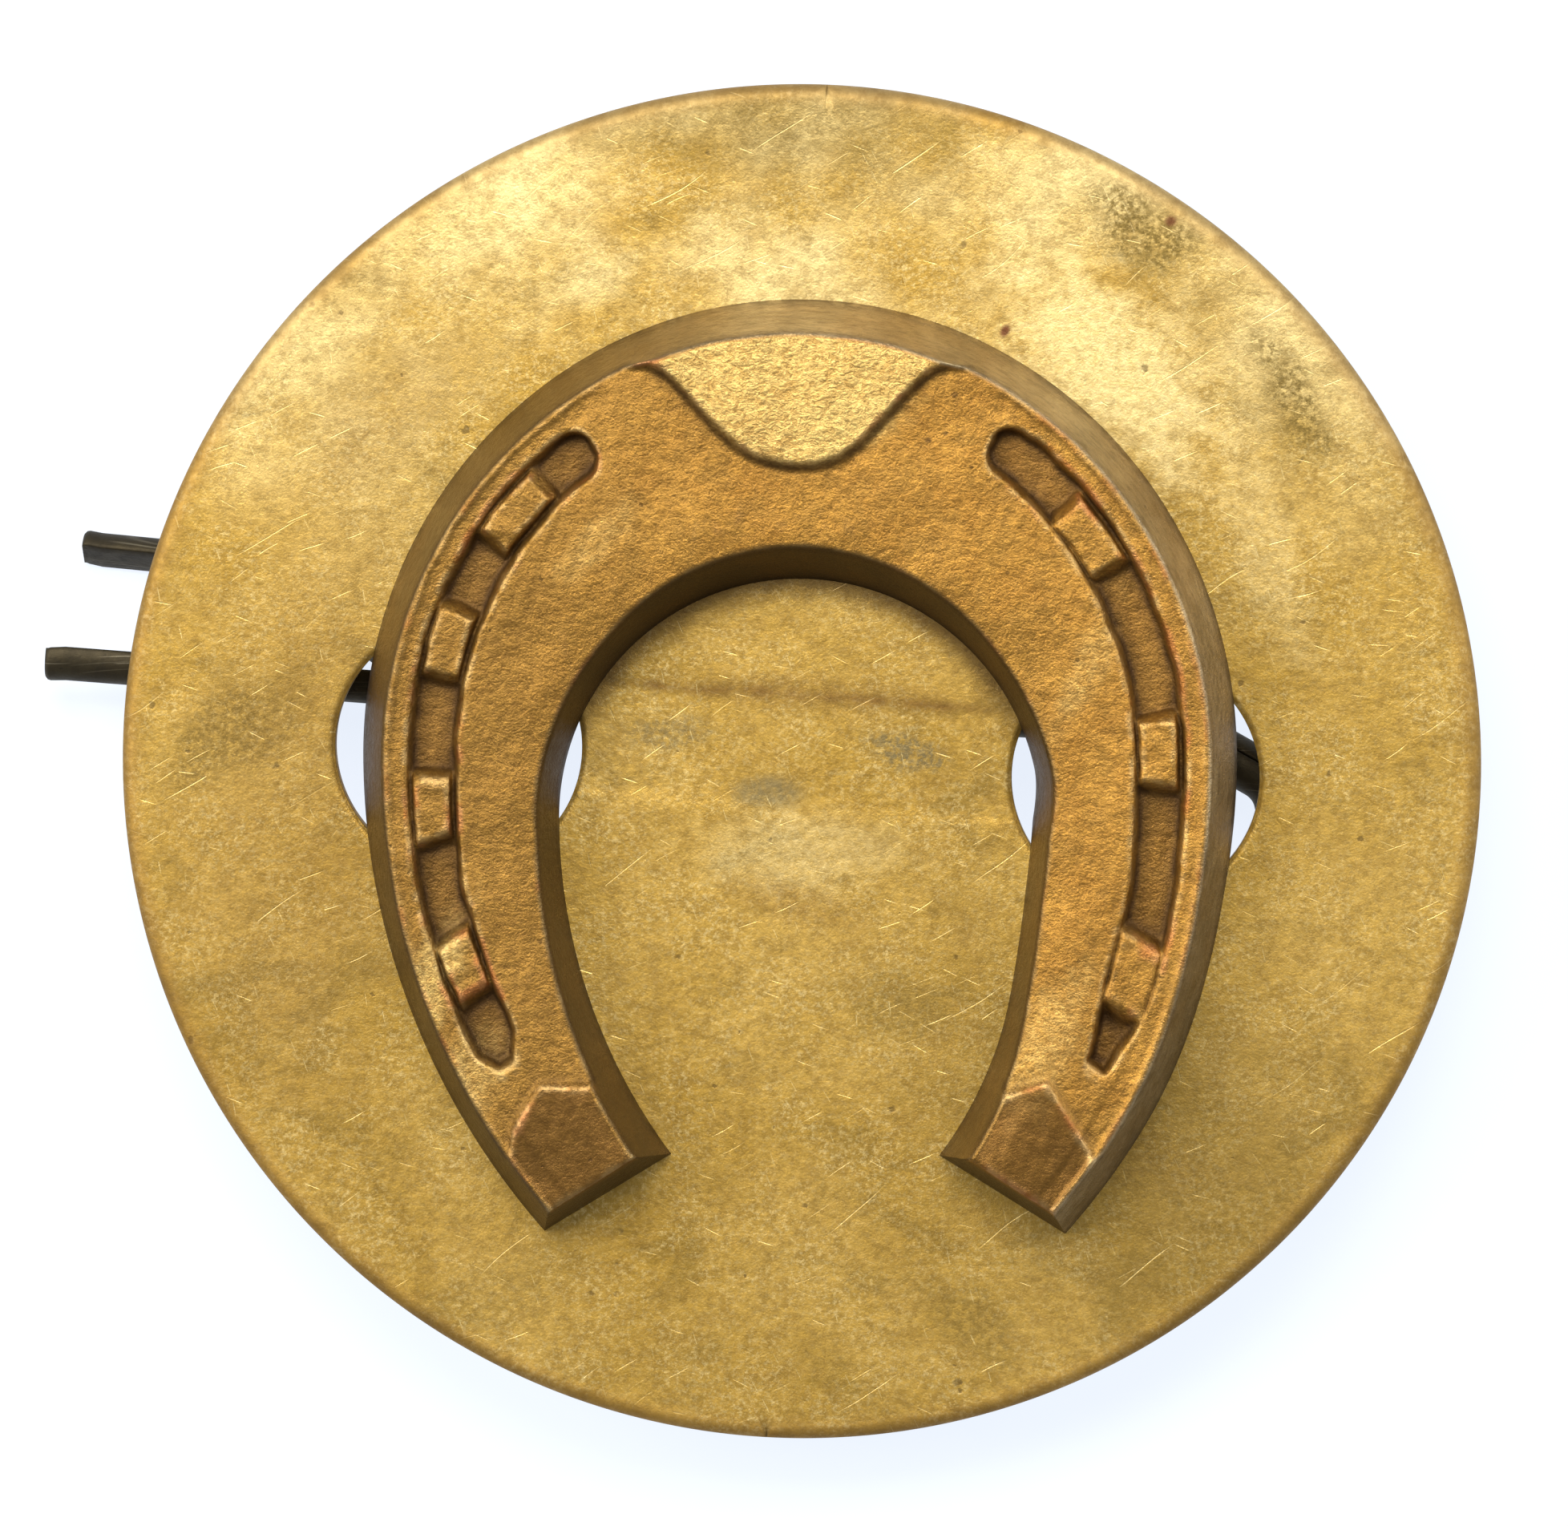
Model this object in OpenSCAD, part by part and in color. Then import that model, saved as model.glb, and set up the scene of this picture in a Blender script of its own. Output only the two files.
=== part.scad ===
// Struck horseshoe badge on a round backing plate, held by a split pin through two wire loops.
// Millimetres. +Z is the face side, and the origin is the centre of the plate's front face.

/* [Shoe outline] */
// Width of the shoe over its branches
shoe_w = 36.7; // [30:0.1:45]
// Reach of the toe above the plate centre
toe_y = 19.6; // [16:0.1:24]
// Level of the outer heel corners below the centre
heel_drop = 19.7; // [16:0.1:24]
// Level at which the outline is widest
shoulder_y = 0.4; // [-1:0.1:1.5]
// Radius of the outer edge from shoulder to heel
quarter_r = 30.4; // [26:0.2:38]
// Radius of the arch between the branches
arch_r = 10.1; // [8:0.1:12.2]
// Level of the arch centre below the plate centre
arch_drop = 2.2; // [1:0.1:3]
// Radius of the inner edge from arch to heel
inner_quarter_r = 23.8; // [20:0.2:30]
// Level of the inner heel corners below the centre
inner_heel_drop = 16.4; // [13:0.1:19]

/* [Shoe relief] */
// Height of the web above the plate
web_z = 3.4; // [2.8:0.1:4.2]
// Lean of the outer wall, in mm per mm of height
outer_draft = 0.315; // [0.2:0.005:0.4]
// Lean of the inner wall at the branches, in mm per mm of height
inner_draft = 0.26; // [0.2:0.005:0.35]
// Extra lean of the inner wall at the arch, in mm per mm of height
arch_draft = 0.2; // [0:0.01:0.25]
// Thickness of the struck metal at the walls
shell_t = 1.0; // [0.8:0.05:1.3]
// Depth of the hollow back
hollow_z = 1.8; // [1.2:0.1:2]
// Rise of the toe clip above the web
clip_rise = 0.6; // [0.3:0.05:0.9]
// Half width of the toe clip at half its depth
clip_half_w = 3.85; // [3:0.05:4.6]
// Depth of the toe clip from the top edge of the toe
clip_depth = 5.4; // [4:0.1:6.5]
// Rise of the heel pads above the web
pad_rise = 0.35; // [0.2:0.05:0.6]

/* [Fuller and nails] */
// Distance of the fuller from the outer foot of the wall
fuller_in = 2.15; // [1.9:0.05:2.6]
// Width of the fuller at the web
fuller_w = 2.1; // [1.7:0.05:2.4]
// Depth of the fuller
fuller_d = 0.85; // [0.5:0.05:1]
// Length of a nail head on top
nail_l = 2.5; // [1.8:0.1:3]
// Width of a nail head on top
nail_w = 1.45; // [1:0.05:1.7]
// Height of a nail head above the fuller floor
nail_rise = 0.75; // [0.4:0.05:1]

/* [Plate] */
// Diameter of the backing plate
plate_d = 57.15; // [50:0.05:70]
// Thickness of the plate
plate_t = 0.9; // [0.7:0.05:1.3]
// Radius rolled on the front edge of the plate
plate_roll = 0.6; // [0.3:0.05:0.65]
// Diameter of the two holes
hole_d = 10.4; // [9:0.1:12.5]
// Play of the loops between the two holes
hole_play = 0.42; // [0.2:0.02:1]
// Turn of the plate against the shoe, in degrees
plate_turn = 2.57; // [0:0.1:5]

/* [Loops] */
// Wire diameter of the loops
loop_wire = 1.2; // [1:0.05:1.5]
// Gap between a loop and the upper edge of its hole
loop_gap = 0.25; // [0.2:0.05:0.6]
// Width of the braze collar round each foot
braze_w = 0.9; // [0.6:0.05:1.2]

/* [Split pin] */
// Diameter of the closed legs
pin_d = 2.1; // [1.6:0.05:2.5]
// Inner radius of the eye
eye_r = 1.3; // [1:0.05:1.6]
// Roll of the pin about its own line, in degrees
pin_roll = 28; // [0:1:32]
// Play of the legs inside a loop, on each side
pin_play = 0.4; // [0.3:0.05:0.8]
// Bend of the neck beyond the right loop, in degrees
neck_turn = 27; // [0:1:32]
// Length from the end of the bend to the middle of the eye
neck_l = 6.1; // [5.5:0.1:8]
// Reach of the lower leg beyond the left loop
lower_leg_l = 18.1; // [14:0.1:24]
// Reach of the upper leg beyond the left loop
upper_leg_l = 16.9; // [13:0.1:22]
// Sideways spread of the upper leg
leg_spread = 3.9; // [2.5:0.1:5]
// Backward spread of the upper leg
leg_back = 1.2; // [0:0.1:1.4]

/* [Fit] */
// Play left for cloth between shoe and plate
cloth_play = 0.8; // [0.4:0.05:1.5]
// Running gap between pieces that move past each other
run_gap = 0.15; // [0.1:0.05:0.3]

/* [Hidden] */
$fn = 96;

// Shoe: both edges are worked out from one station angle, 0 at the toe and negative on the left
half_w = shoe_w / 2;
toe_rise = toe_y - shoulder_y;
heel_a = acos((-heel_drop - shoulder_y) / quarter_r);
inner_heel_a = acos((-inner_heel_drop + arch_drop) / inner_quarter_r);
shoulder_lag = 75;
lag_cubic = (inner_heel_a / heel_a - shoulder_lag / 90) / (heel_a * heel_a - 90 * 90);
lag_linear = shoulder_lag / 90 - lag_cubic * 90 * 90;
heel_wall_a = 2.3;
station_n = 56;
cut_over = 0.5;

// Nail heads: station angles on each branch
left_nails = [-49.3, -71.8, -94.7, -110];
right_nails = [53.4, 87.7, 110.4];
fuller_ends = [33, 118.4];

// Loops and pin
hole_shift = [-0.12, 0.155];
wire_r = loop_wire / 2;
pin_r = pin_d / 2;
loop_x = (half_w + arch_r) / 2 - 0.2;
hole_pitch = 2 * loop_x + hole_play;
loop_in_r = pin_r + pin_play;
loop_mid_r = loop_in_r + wire_r;
loop_rise = hole_d / 2 - loop_mid_r - wire_r - loop_gap;
left_hole = hole_shift + hole_pitch / 2 * [-cos(plate_turn), sin(plate_turn)];
right_hole = hole_shift + hole_pitch / 2 * [cos(plate_turn), -sin(plate_turn)];
left_loop_at = [-loop_x, left_hole[1] + loop_rise];
right_loop_at = [loop_x, right_hole[1] + loop_rise];
pin_a = atan2(right_loop_at[1] - left_loop_at[1], 2 * loop_x);
eye_out = eye_r * sin(pin_roll) + pin_r;
pin_z = -(plate_t + cloth_play + run_gap + eye_out);
loop_z = pin_z - pin_r - 0.05 + loop_in_r;
flat_gap = 0.02;
eye_open_a = 35;
neck_bend_r = 1.75;
bend_r = 4;
bend_start = loop_x + wire_r - 0.3;
spread_start = 1.6;
spread_l = 8;

// ---- points on the shoe ----

function outer_edge(a) =
    let (t = abs(a), side = a < 0 ? -1 : 1)
    t <= 90 ? [side * half_w * sin(t), shoulder_y + toe_rise * cos(t)]
            : [side * (half_w - quarter_r + quarter_r * sin(t)), shoulder_y + quarter_r * cos(t)];

function inner_edge(a) =
    let (lag = abs(a) * (lag_linear + lag_cubic * a * a), side = a < 0 ? -1 : 1)
    lag <= 90 ? [side * arch_r * sin(lag), -arch_drop + arch_r * cos(lag)]
              : [side * (arch_r - inner_quarter_r + inner_quarter_r * sin(lag)),
                 -arch_drop + inner_quarter_r * cos(lag)];

function branch_w(a) = norm(inner_edge(a) - outer_edge(a));

// a point w mm in from the outer edge, along the line that joins the two edges
function across(a, w, z) =
    let (o = outer_edge(a), p = o + (inner_edge(a) - o) * w / branch_w(a)) [p[0], p[1], z];

function inner_lean(a) = inner_draft + arch_draft * pow(max(0, cos(a)), 2);

function stations(from, to, n) = [for (i = [0:n]) from + (to - from) * i / n];

// closed solid through rings with the same number of points, each clockwise along the way of travel
module loft(rings) {
    m = len(rings[0]);
    last = len(rings) - 1;
    sides = [for (i = [0:last - 1], j = [0:m - 1])
                let (k = (j + 1) % m, p = i * m, q = p + m)
                each [[p + j, q + k, p + k], [p + j, q + j, q + k]]];
    ends = [for (j = [1:m - 2]) each [[0, j, j + 1], [last * m, last * m + j + 1, last * m + j]]];
    polyhedron([for (r = rings) each r], concat(sides, ends), convexity = 10);
}

// ---- horseshoe ----

function blank_ring(a) =
    let (b = a * (heel_a - heel_wall_a) / heel_a)
    [across(a, 0, 0), across(b, outer_draft * web_z, web_z),
     across(b, branch_w(b) - inner_lean(b) * web_z, web_z), across(a, branch_w(a), 0)];

module blank() loft([for (a = stations(-heel_a, heel_a, station_n)) blank_ring(a)]);

function hollow_ring(a) =
    [across(a, shell_t, -cut_over), across(a, shell_t + outer_draft * hollow_z, hollow_z),
     across(a, branch_w(a) - shell_t - inner_lean(a) * hollow_z, hollow_z),
     across(a, branch_w(a) - shell_t, -cut_over)];

module hollow_back() {
    end_a = heel_a - 2 * heel_wall_a;
    loft([for (a = stations(-end_a, end_a, station_n)) hollow_ring(a)]);
}

function fuller_ring(a, narrow) =
    let (w0 = fuller_in + narrow, w1 = fuller_in + fuller_w - narrow,
         floor_z = web_z - fuller_d, lean = 0.25)
    [across(a, w0 + lean, floor_z), across(a, w0, web_z), across(a, w0, web_z + cut_over),
     across(a, w1, web_z + cut_over), across(a, w1, web_z), across(a, w1 - lean, floor_z)];

module fuller(side) {
    end_run = [0, 1.2, 3];
    end_narrow = [0.55, 0.18, 0];
    from = fuller_ends[0];
    to = fuller_ends[1];
    steps = [for (i = [0:2]) [from + end_run[i], end_narrow[i]],
             for (a = stations(from + 6, to - 5, 18)) [a, 0],
             for (i = [2:-1:0]) [to - end_run[i] * 0.7, end_narrow[i]]];
    mirror([side < 0 ? 1 : 0, 0, 0]) loft([for (s = steps) fuller_ring(s[0], s[1])]);
}

function nail_ring(l, w, z) = [for (p = [[-1, -1], [1, -1], [1, 1], [-1, 1]]) [p[0] * l / 2, p[1] * w / 2, z]];

module nail_head(a) {
    mid = across(a, fuller_in + fuller_w / 2, 0);
    along = across(a + 2, fuller_in + fuller_w / 2, 0) - mid;
    floor_z = web_z - fuller_d;
    spread = 0.35;
    translate([mid[0], mid[1], 0]) rotate([0, 0, atan2(along[1], along[0])])
        loft([nail_ring(nail_l + 2 * spread, nail_w + spread, floor_z - 0.1),
              nail_ring(nail_l, nail_w, floor_z + nail_rise)]);
}

// bell-shaped lobe struck up from the web, cut off by the outer wall
function clip_edge(x) =
    let (top = toe_y - outer_draft * web_z)
    top - 1.7 - (clip_depth - 1.7) / (1 + pow(x / clip_half_w, 4));

module toe_clip() {
    reach = 1.7 * clip_half_w;
    top_z = web_z + clip_rise;
    low_z = web_z - 0.3;
    intersection() {
        translate([0, 0, low_z]) linear_extrude(height = top_z - low_z)
            polygon([for (x = [-reach:reach / 14:reach + 0.01]) [x, clip_edge(x)],
                     [reach, toe_y + 1], [-reach, toe_y + 1]]);
        loft([for (a = stations(-32, 32, 20))
                [across(a, outer_draft * low_z, low_z), across(a, outer_draft * top_z, top_z),
                 across(a, clip_depth + 3, top_z), across(a, clip_depth + 3, low_z)]]);
    }
}

module heel_pad() {
    in_w = branch_w(heel_a) - inner_draft * web_z;
    points = [[heel_a - 9.8, 4], [heel_a - 5.8, in_w - 0.15], [heel_a - 2.7, in_w - 0.15],
              [heel_a - 2.5, outer_draft * web_z + 0.15], [heel_a - 7, outer_draft * web_z + 0.15]];
    translate([0, 0, web_z - 0.3]) linear_extrude(height = pad_rise + 0.3)
        polygon([for (p = points) let (q = across(p[0], p[1], 0)) [q[0], q[1]]]);
}

module horseshoe() {
    color("darkgoldenrod") {
        difference() {
            union() {
                blank();
                toe_clip();
                heel_pad();
                mirror([1, 0, 0]) heel_pad();
            }
            hollow_back();
            fuller(-1);
            fuller(1);
        }
        for (a = concat(left_nails, right_nails)) nail_head(a);
    }
}

// ---- loops and their braze ----

// wire staple in the plane across the pin, feet on the ceiling of the hollow back
module loop(at) {
    color("peru")
        translate([at[0], at[1], 0]) rotate([0, 0, pin_a]) {
            for (side = [-1, 1])
                translate([0, side * loop_mid_r, loop_z]) cylinder(r = wire_r, h = hollow_z - loop_z);
            translate([0, 0, loop_z]) rotate([0, 90, 0]) rotate([0, 0, -90])
                rotate_extrude(angle = 180) translate([loop_mid_r, 0]) circle(r = wire_r, $fn = 48);
        }
}

module loop_solder(at) {
    steps = 5;
    color("darkkhaki")
        translate([at[0], at[1], 0]) rotate([0, 0, pin_a])
            for (side = [-1, 1])
                translate([0, side * loop_mid_r, 0]) rotate_extrude()
                    polygon([[wire_r, hollow_z], [wire_r + braze_w, hollow_z],
                             for (i = [1:steps]) let (b = 90 * i / steps)
                                 [wire_r + braze_w * (1 - sin(b)), hollow_z - braze_w * (1 - cos(b))]]);
}

module left_loop() loop(left_loop_at);
module right_loop() loop(right_loop_at);
module left_loop_solder() loop_solder(left_loop_at);
module right_loop_solder() loop_solder(right_loop_at);

// ---- plate ----

module backing_plate() {
    steps = 5;
    r = plate_d / 2;
    color("goldenrod") difference() {
        rotate_extrude($fn = 180)
            polygon([[0, -plate_t], [r, -plate_t],
                     for (i = [0:steps]) let (b = 90 * i / steps)
                         [r - plate_roll * (1 - cos(b)), -plate_roll * (1 - sin(b))],
                     [0, 0]]);
        for (at = [left_hole, right_hole]) translate([at[0], at[1], 0]) {
            translate([0, 0, -plate_t - 1]) cylinder(d = hole_d, h = plate_t + 2);
            translate([0, 0, -0.2]) cylinder(d1 = hole_d, d2 = hole_d + 0.5, h = 0.25);
        }
    }
}

// ---- split pin ----

function left_of(a) = [-sin(a), cos(a), 0];
function along_of(a) = [cos(a), sin(a), 0];
function split_of(a) = cos(pin_roll) * left_of(a) - [0, 0, sin(pin_roll)];
function bore_of(a) = sin(pin_roll) * left_of(a) + [0, 0, cos(pin_roll)];

pin_mid = [0, (left_loop_at[1] + right_loop_at[1]) / 2, pin_z];
function pin_point(s, v, z) = pin_mid + s * along_of(pin_a) + v * left_of(pin_a) + [0, 0, z];

bend_centre = pin_point(bend_start, -bend_r, 0);
function bend_point(b) = bend_centre + bend_r * left_of(pin_a - b);
neck_a = pin_a - neck_turn;
eye_at = bend_point(neck_turn) + neck_l * along_of(neck_a);
neck_close = eye_r * cos(eye_open_a) + neck_bend_r * cos(eye_open_a);

function smooth(t) = t * t * (3 - 2 * t);

// half-round section: side 1 is the upper leg and -1 the lower leg, tilt opens it away from the neck line
function leg_ring(c, a, side, off, tilt, size) =
    let (out = -sin(tilt) * along_of(a) + side * cos(tilt) * split_of(a),
         foot = c + side * off * split_of(a))
    [for (i = [0:8]) let (b = side * (90 - 22.5 * i))
        foot + pin_r * size * (cos(b) * out + sin(b) * bore_of(a)) + 0.5 * (1 - size) * pin_r * out];

// from the eye through the neck and the bend to the left loop
function shared_rings(side) =
    let (open = 90 - eye_open_a)
    [let (t = cos(open) * along_of(neck_a) + side * sin(open) * split_of(neck_a))
        leg_ring(eye_at - eye_r * cos(eye_open_a) * along_of(neck_a) + 0.2 * t, neck_a, side,
                 eye_r * sin(eye_open_a), open, 0.9),
     for (b = [open:-open / 5:-0.01])
        leg_ring(eye_at + (neck_bend_r * sin(b) - neck_close) * along_of(neck_a), neck_a, side,
                 neck_bend_r * (1 - cos(b)) + flat_gap, b, 1),
     for (b = [neck_turn:-neck_turn / 5:-0.01]) leg_ring(bend_point(b), pin_a - b, side, flat_gap, 0, 1),
     leg_ring(pin_point(-loop_x - spread_start, 0, 0), pin_a, side, flat_gap, 0, 1)];

// free ends beyond the left loop, s counts from the start of the spread
function spread_at(s, side) = side > 0 ? leg_spread * smooth(min(1, s / spread_l)) + 0.045 * s : 0.028 * s;
function free_rings(side, reach) =
    let (from = -loop_x - spread_start, l = reach - spread_start)
    [for (i = [1:16])
        let (s = l * i / 16, ds = 0.1,
             slope = atan2(spread_at(s - ds, side) - spread_at(s, side), ds),
             t = min(1, s / l))
        leg_ring(pin_point(from - s, spread_at(s, side), side > 0 ? -leg_back * smooth(t) : 0),
                 pin_a + slope, side, flat_gap, 0, i == 16 ? 0.8 : 1)];

module leg(side, reach) loft(concat(shared_rings(side), free_rings(side, reach)));

module split_pin() {
    color("dimgray") {
        translate(eye_at) rotate([0, 0, neck_a]) rotate([-pin_roll, 0, 0])
            rotate([0, 0, eye_open_a - 180])
                rotate_extrude(angle = 360 - 2 * eye_open_a) translate([eye_r, 0])
                    intersection() {
                        circle(r = pin_r, $fn = 48);
                        translate([0, -pin_r]) square([pin_r, pin_d]);
                    }
        leg(1, upper_leg_l);
        leg(-1, lower_leg_l);
    }
}

horseshoe();
left_loop();
right_loop();
left_loop_solder();
right_loop_solder();
backing_plate();
split_pin();
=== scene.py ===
import math

import bpy
import numpy as np
from mathutils import Matrix, Vector


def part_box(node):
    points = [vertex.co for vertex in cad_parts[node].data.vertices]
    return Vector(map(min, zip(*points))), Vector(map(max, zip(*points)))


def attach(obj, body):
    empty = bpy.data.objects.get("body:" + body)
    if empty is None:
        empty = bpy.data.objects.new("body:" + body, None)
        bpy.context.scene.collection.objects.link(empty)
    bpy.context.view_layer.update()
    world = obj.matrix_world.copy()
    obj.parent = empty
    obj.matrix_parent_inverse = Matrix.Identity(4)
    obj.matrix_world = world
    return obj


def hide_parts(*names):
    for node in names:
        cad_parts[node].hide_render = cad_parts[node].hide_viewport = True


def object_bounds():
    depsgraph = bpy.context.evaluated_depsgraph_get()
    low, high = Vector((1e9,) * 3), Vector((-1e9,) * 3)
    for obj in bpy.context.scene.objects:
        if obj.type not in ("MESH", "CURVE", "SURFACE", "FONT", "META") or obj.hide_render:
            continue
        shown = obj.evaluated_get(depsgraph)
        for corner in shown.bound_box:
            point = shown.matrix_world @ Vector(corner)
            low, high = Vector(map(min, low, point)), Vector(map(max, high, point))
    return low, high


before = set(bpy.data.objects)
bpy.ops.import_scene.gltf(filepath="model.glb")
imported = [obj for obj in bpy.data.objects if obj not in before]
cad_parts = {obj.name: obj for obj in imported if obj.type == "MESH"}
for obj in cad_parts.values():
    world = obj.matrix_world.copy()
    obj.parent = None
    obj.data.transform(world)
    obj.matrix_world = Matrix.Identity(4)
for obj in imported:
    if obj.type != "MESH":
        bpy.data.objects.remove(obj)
cadLow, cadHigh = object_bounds()
mm = 0.001
fullTurn = 6.2832             # radians, as close as the ripples need it
print("frame loaded")


# smooth step from 0 at low to 1 at high
def ease(x, low, high):
    t = np.clip((x - low) / (high - low), 0, 1)
    return t * t * (3 - 2 * t)


# the larger of two heights, with a fillet of about the given size where they cross
def softMax(a, b, size):
    return 0.5 * (a + b + np.sqrt((a - b) ** 2 + size * size))


def softMin(a, b, size):
    return 0.5 * (a + b - np.sqrt((a - b) ** 2 + size * size))


# how far an edge rounded to a radius has dropped, at a distance in from it
def roundOff(gap, radius):
    return radius - np.sqrt(radius ** 2 - np.clip(radius - gap, 0, radius) ** 2)


# t of the way along a curve from first to last that is bent towards corner
def bentLine(t, first, corner, last):
    return (1 - t) ** 2 * first + 2 * t * (1 - t) * corner + t ** 2 * last


# even unrest between -1 and 1: the mean of plane waves of about one wavelength in seeded directions
def ripple(x, y, wavelength, seed, waves=14):
    rng = np.random.default_rng(seed)
    total = np.zeros(np.broadcast(x, y).shape)
    for turn, phase, stretch in rng.uniform(0, 1, (waves, 3)):
        k = 2 * np.pi / (wavelength * (0.7 + 0.8 * stretch))
        total += np.sin(k * (x * np.cos(fullTurn * turn) + y * np.sin(fullTurn * turn)) + fullTurn * phase)
    return total / np.sqrt(waves) * 0.7


# mean of the neighbours in a window of the table, by running sums
def boxMean(table, reach):
    window = 2 * reach + 1
    for axis in (0, 1):
        pad = [(0, 0), (0, 0)]
        pad[axis] = (reach + 1, reach)
        total = np.cumsum(np.pad(table, pad, mode="edge"), axis=axis)
        picks = np.arange(table.shape[axis])
        table = (np.take(total, picks + window, axis) - np.take(total, picks, axis)) / window
    return table


# quads between the neighbouring rows and columns of a table of vertex numbers
def gridQuads(numbers):
    corners = [numbers[:-1, :-1], numbers[1:, :-1], numbers[1:, 1:], numbers[:-1, 1:]]
    return np.stack(corners, -1).reshape(-1, 4)


# turns every face over if the closed shape's signed volume is negative
def outward(points, faces):
    total = 0.0
    for size in {len(f) for f in faces}:
        group = np.array([f for f in faces if len(f) == size])
        for i in range(1, size - 1):
            a, b, c = points[group[:, 0]], points[group[:, i]], points[group[:, i + 1]]
            total += np.einsum("ij,ij->i", a, np.cross(b, c)).sum()
    return faces if total > 0 else [f[::-1] for f in faces]


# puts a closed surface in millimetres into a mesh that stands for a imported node
def makePiece(name, points, faces, material, body, node, masks=None):
    faces = outward(points, [list(map(int, f)) for f in faces])
    mesh = bpy.data.meshes.new(name)
    mesh.from_pydata((points * mm).tolist(), [], faces)
    mesh.polygons.foreach_set("use_smooth", np.ones(len(mesh.polygons), bool))
    for key, values in (masks or {}).items():
        layer = mesh.attributes.new(key, "FLOAT", "POINT")
        layer.data.foreach_set("value", values.ravel().astype(np.float32))
    mesh.materials.append(material)
    mesh.update()
    piece = bpy.data.objects.new(name, mesh)
    bpy.context.scene.collection.objects.link(piece)
    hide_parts(node)
    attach(piece, body)
    print(name, "made:", len(points), "points")


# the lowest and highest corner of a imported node, in millimetres
def boxInMm(node):
    return [np.array(corner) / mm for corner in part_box(node)]


# a node's output, which adds, multiplies and divides like a number
class Signal:
    def __init__(self, socket):
        self.socket = socket
        self.tree = socket.id_data

    def __add__(self, other):
        return calc("ADD", self, other)

    def __sub__(self, other):
        return calc("SUBTRACT", self, other)

    def __rsub__(self, other):
        return calc("SUBTRACT", other, self)

    def __mul__(self, other):
        return calc("MULTIPLY", self, other)

    def __truediv__(self, other):
        return calc("DIVIDE", self, other)

    def __rtruediv__(self, other):
        return calc("DIVIDE", other, self)

    def __abs__(self):
        return calc("ABSOLUTE", self)

    __radd__, __rmul__ = __add__, __mul__


# links a signal to a socket, or sets the socket to a plain value
def fill(socket, value):
    if isinstance(value, Signal):
        socket.id_data.links.new(value.socket, socket)
    else:
        socket.default_value = value


def addNode(tree, kind, sockets=None, **settings):
    node = tree.nodes.new(kind)
    for key, value in settings.items():
        setattr(node, key, value)
    for key, value in (sockets or {}).items():
        fill(node.inputs[key], value)
    return node


def signal(tree, kind, sockets=None, pick=0, **settings):
    return Signal(addNode(tree, kind, sockets, **settings).outputs[pick])


def calc(operation, a, b=0.0, clamp=False):
    tree = (a if isinstance(a, Signal) else b).tree
    return signal(tree, "ShaderNodeMath", {0: a, 1: b}, operation=operation, use_clamp=clamp)


def vectorCalc(operation, a, b):
    return signal(a.tree, "ShaderNodeVectorMath", {0: a, 1: b}, operation=operation)


def scaled(vector, factors):
    return vectorCalc("MULTIPLY", vector, factors)


def moved(vector, offset):
    return vectorCalc("ADD", vector, offset)


def perSize(vector, size):
    return signal(vector.tree, "ShaderNodeVectorMath", {0: vector, "Scale": 1.0 / size}, operation="SCALE")


def turnedZ(vector, angle):
    return signal(vector.tree, "ShaderNodeVectorRotate", {"Vector": vector, "Angle": angle},
                  rotation_type="Z_AXIS")


def joined(x, y, z):
    return signal(x.tree, "ShaderNodeCombineXYZ", {0: x, 1: y, 2: z})


# the three parts of a vector ("XYZ") or of a colour ("Color")
def split(value, kind="XYZ"):
    return [Signal(part) for part in addNode(value.tree, "ShaderNodeSeparate" + kind, {0: value}).outputs]


def noise(vector, scale, detail=3.0, roughness=0.55, distortion=0.0, pick="Fac"):
    return signal(vector.tree, "ShaderNodeTexNoise", {"Vector": vector, "Scale": scale, "Detail": detail,
                  "Roughness": roughness, "Distortion": distortion}, pick)


def remap(value, low, high, outLow=0.0, outHigh=1.0):
    return signal(value.tree, "ShaderNodeMapRange", {"Value": value, "From Min": low, "From Max": high,
                  "To Min": outLow, "To Max": outHigh}, interpolation_type="SMOOTHSTEP")


# lays colours over a base one after another, each as far as its mask says
def layered(base, *coats):
    for mask, color in coats:
        base = signal(mask.tree, "ShaderNodeMix", {0: mask, 6: base, 7: color}, 2,
                      data_type="RGBA", clamp_factor=True)
    return base


# a colour given as it looks on screen, 0 to 255, as the linear value a socket takes
def tone(red, green, blue):
    part = [c / 255 for c in (red, green, blue)]
    return [c / 12.92 if c <= 0.04045 else ((c + 0.055) / 1.055) ** 2.4 for c in part] + [1.0]


def clearedTree(owner):
    owner.use_nodes = True
    owner.node_tree.nodes.clear()
    return owner.node_tree


# a material with its shader, and the place on the piece in millimetres
def newMaterial(name):
    material = bpy.data.materials.new(name)
    tree = clearedTree(material)
    body = addNode(tree, "ShaderNodeBsdfPrincipled")
    addNode(tree, "ShaderNodeOutputMaterial", {0: Signal(body.outputs[0])})
    return material, body, scaled(signal(tree, "ShaderNodeTexCoord", None, "Object"), (1 / mm,) * 3)


def finishMetal(body, settings, color, rough, height):
    bump = {"Height": height, "Strength": settings["bumpStrength"], "Distance": settings["bumpDepth"]}
    fill(body.inputs["Base Color"], color)
    fill(body.inputs["Roughness"], rough)
    fill(body.inputs["Metallic"], settings["metallic"])
    fill(body.inputs["Normal"], signal(body.id_data, "ShaderNodeBump", bump))


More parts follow.
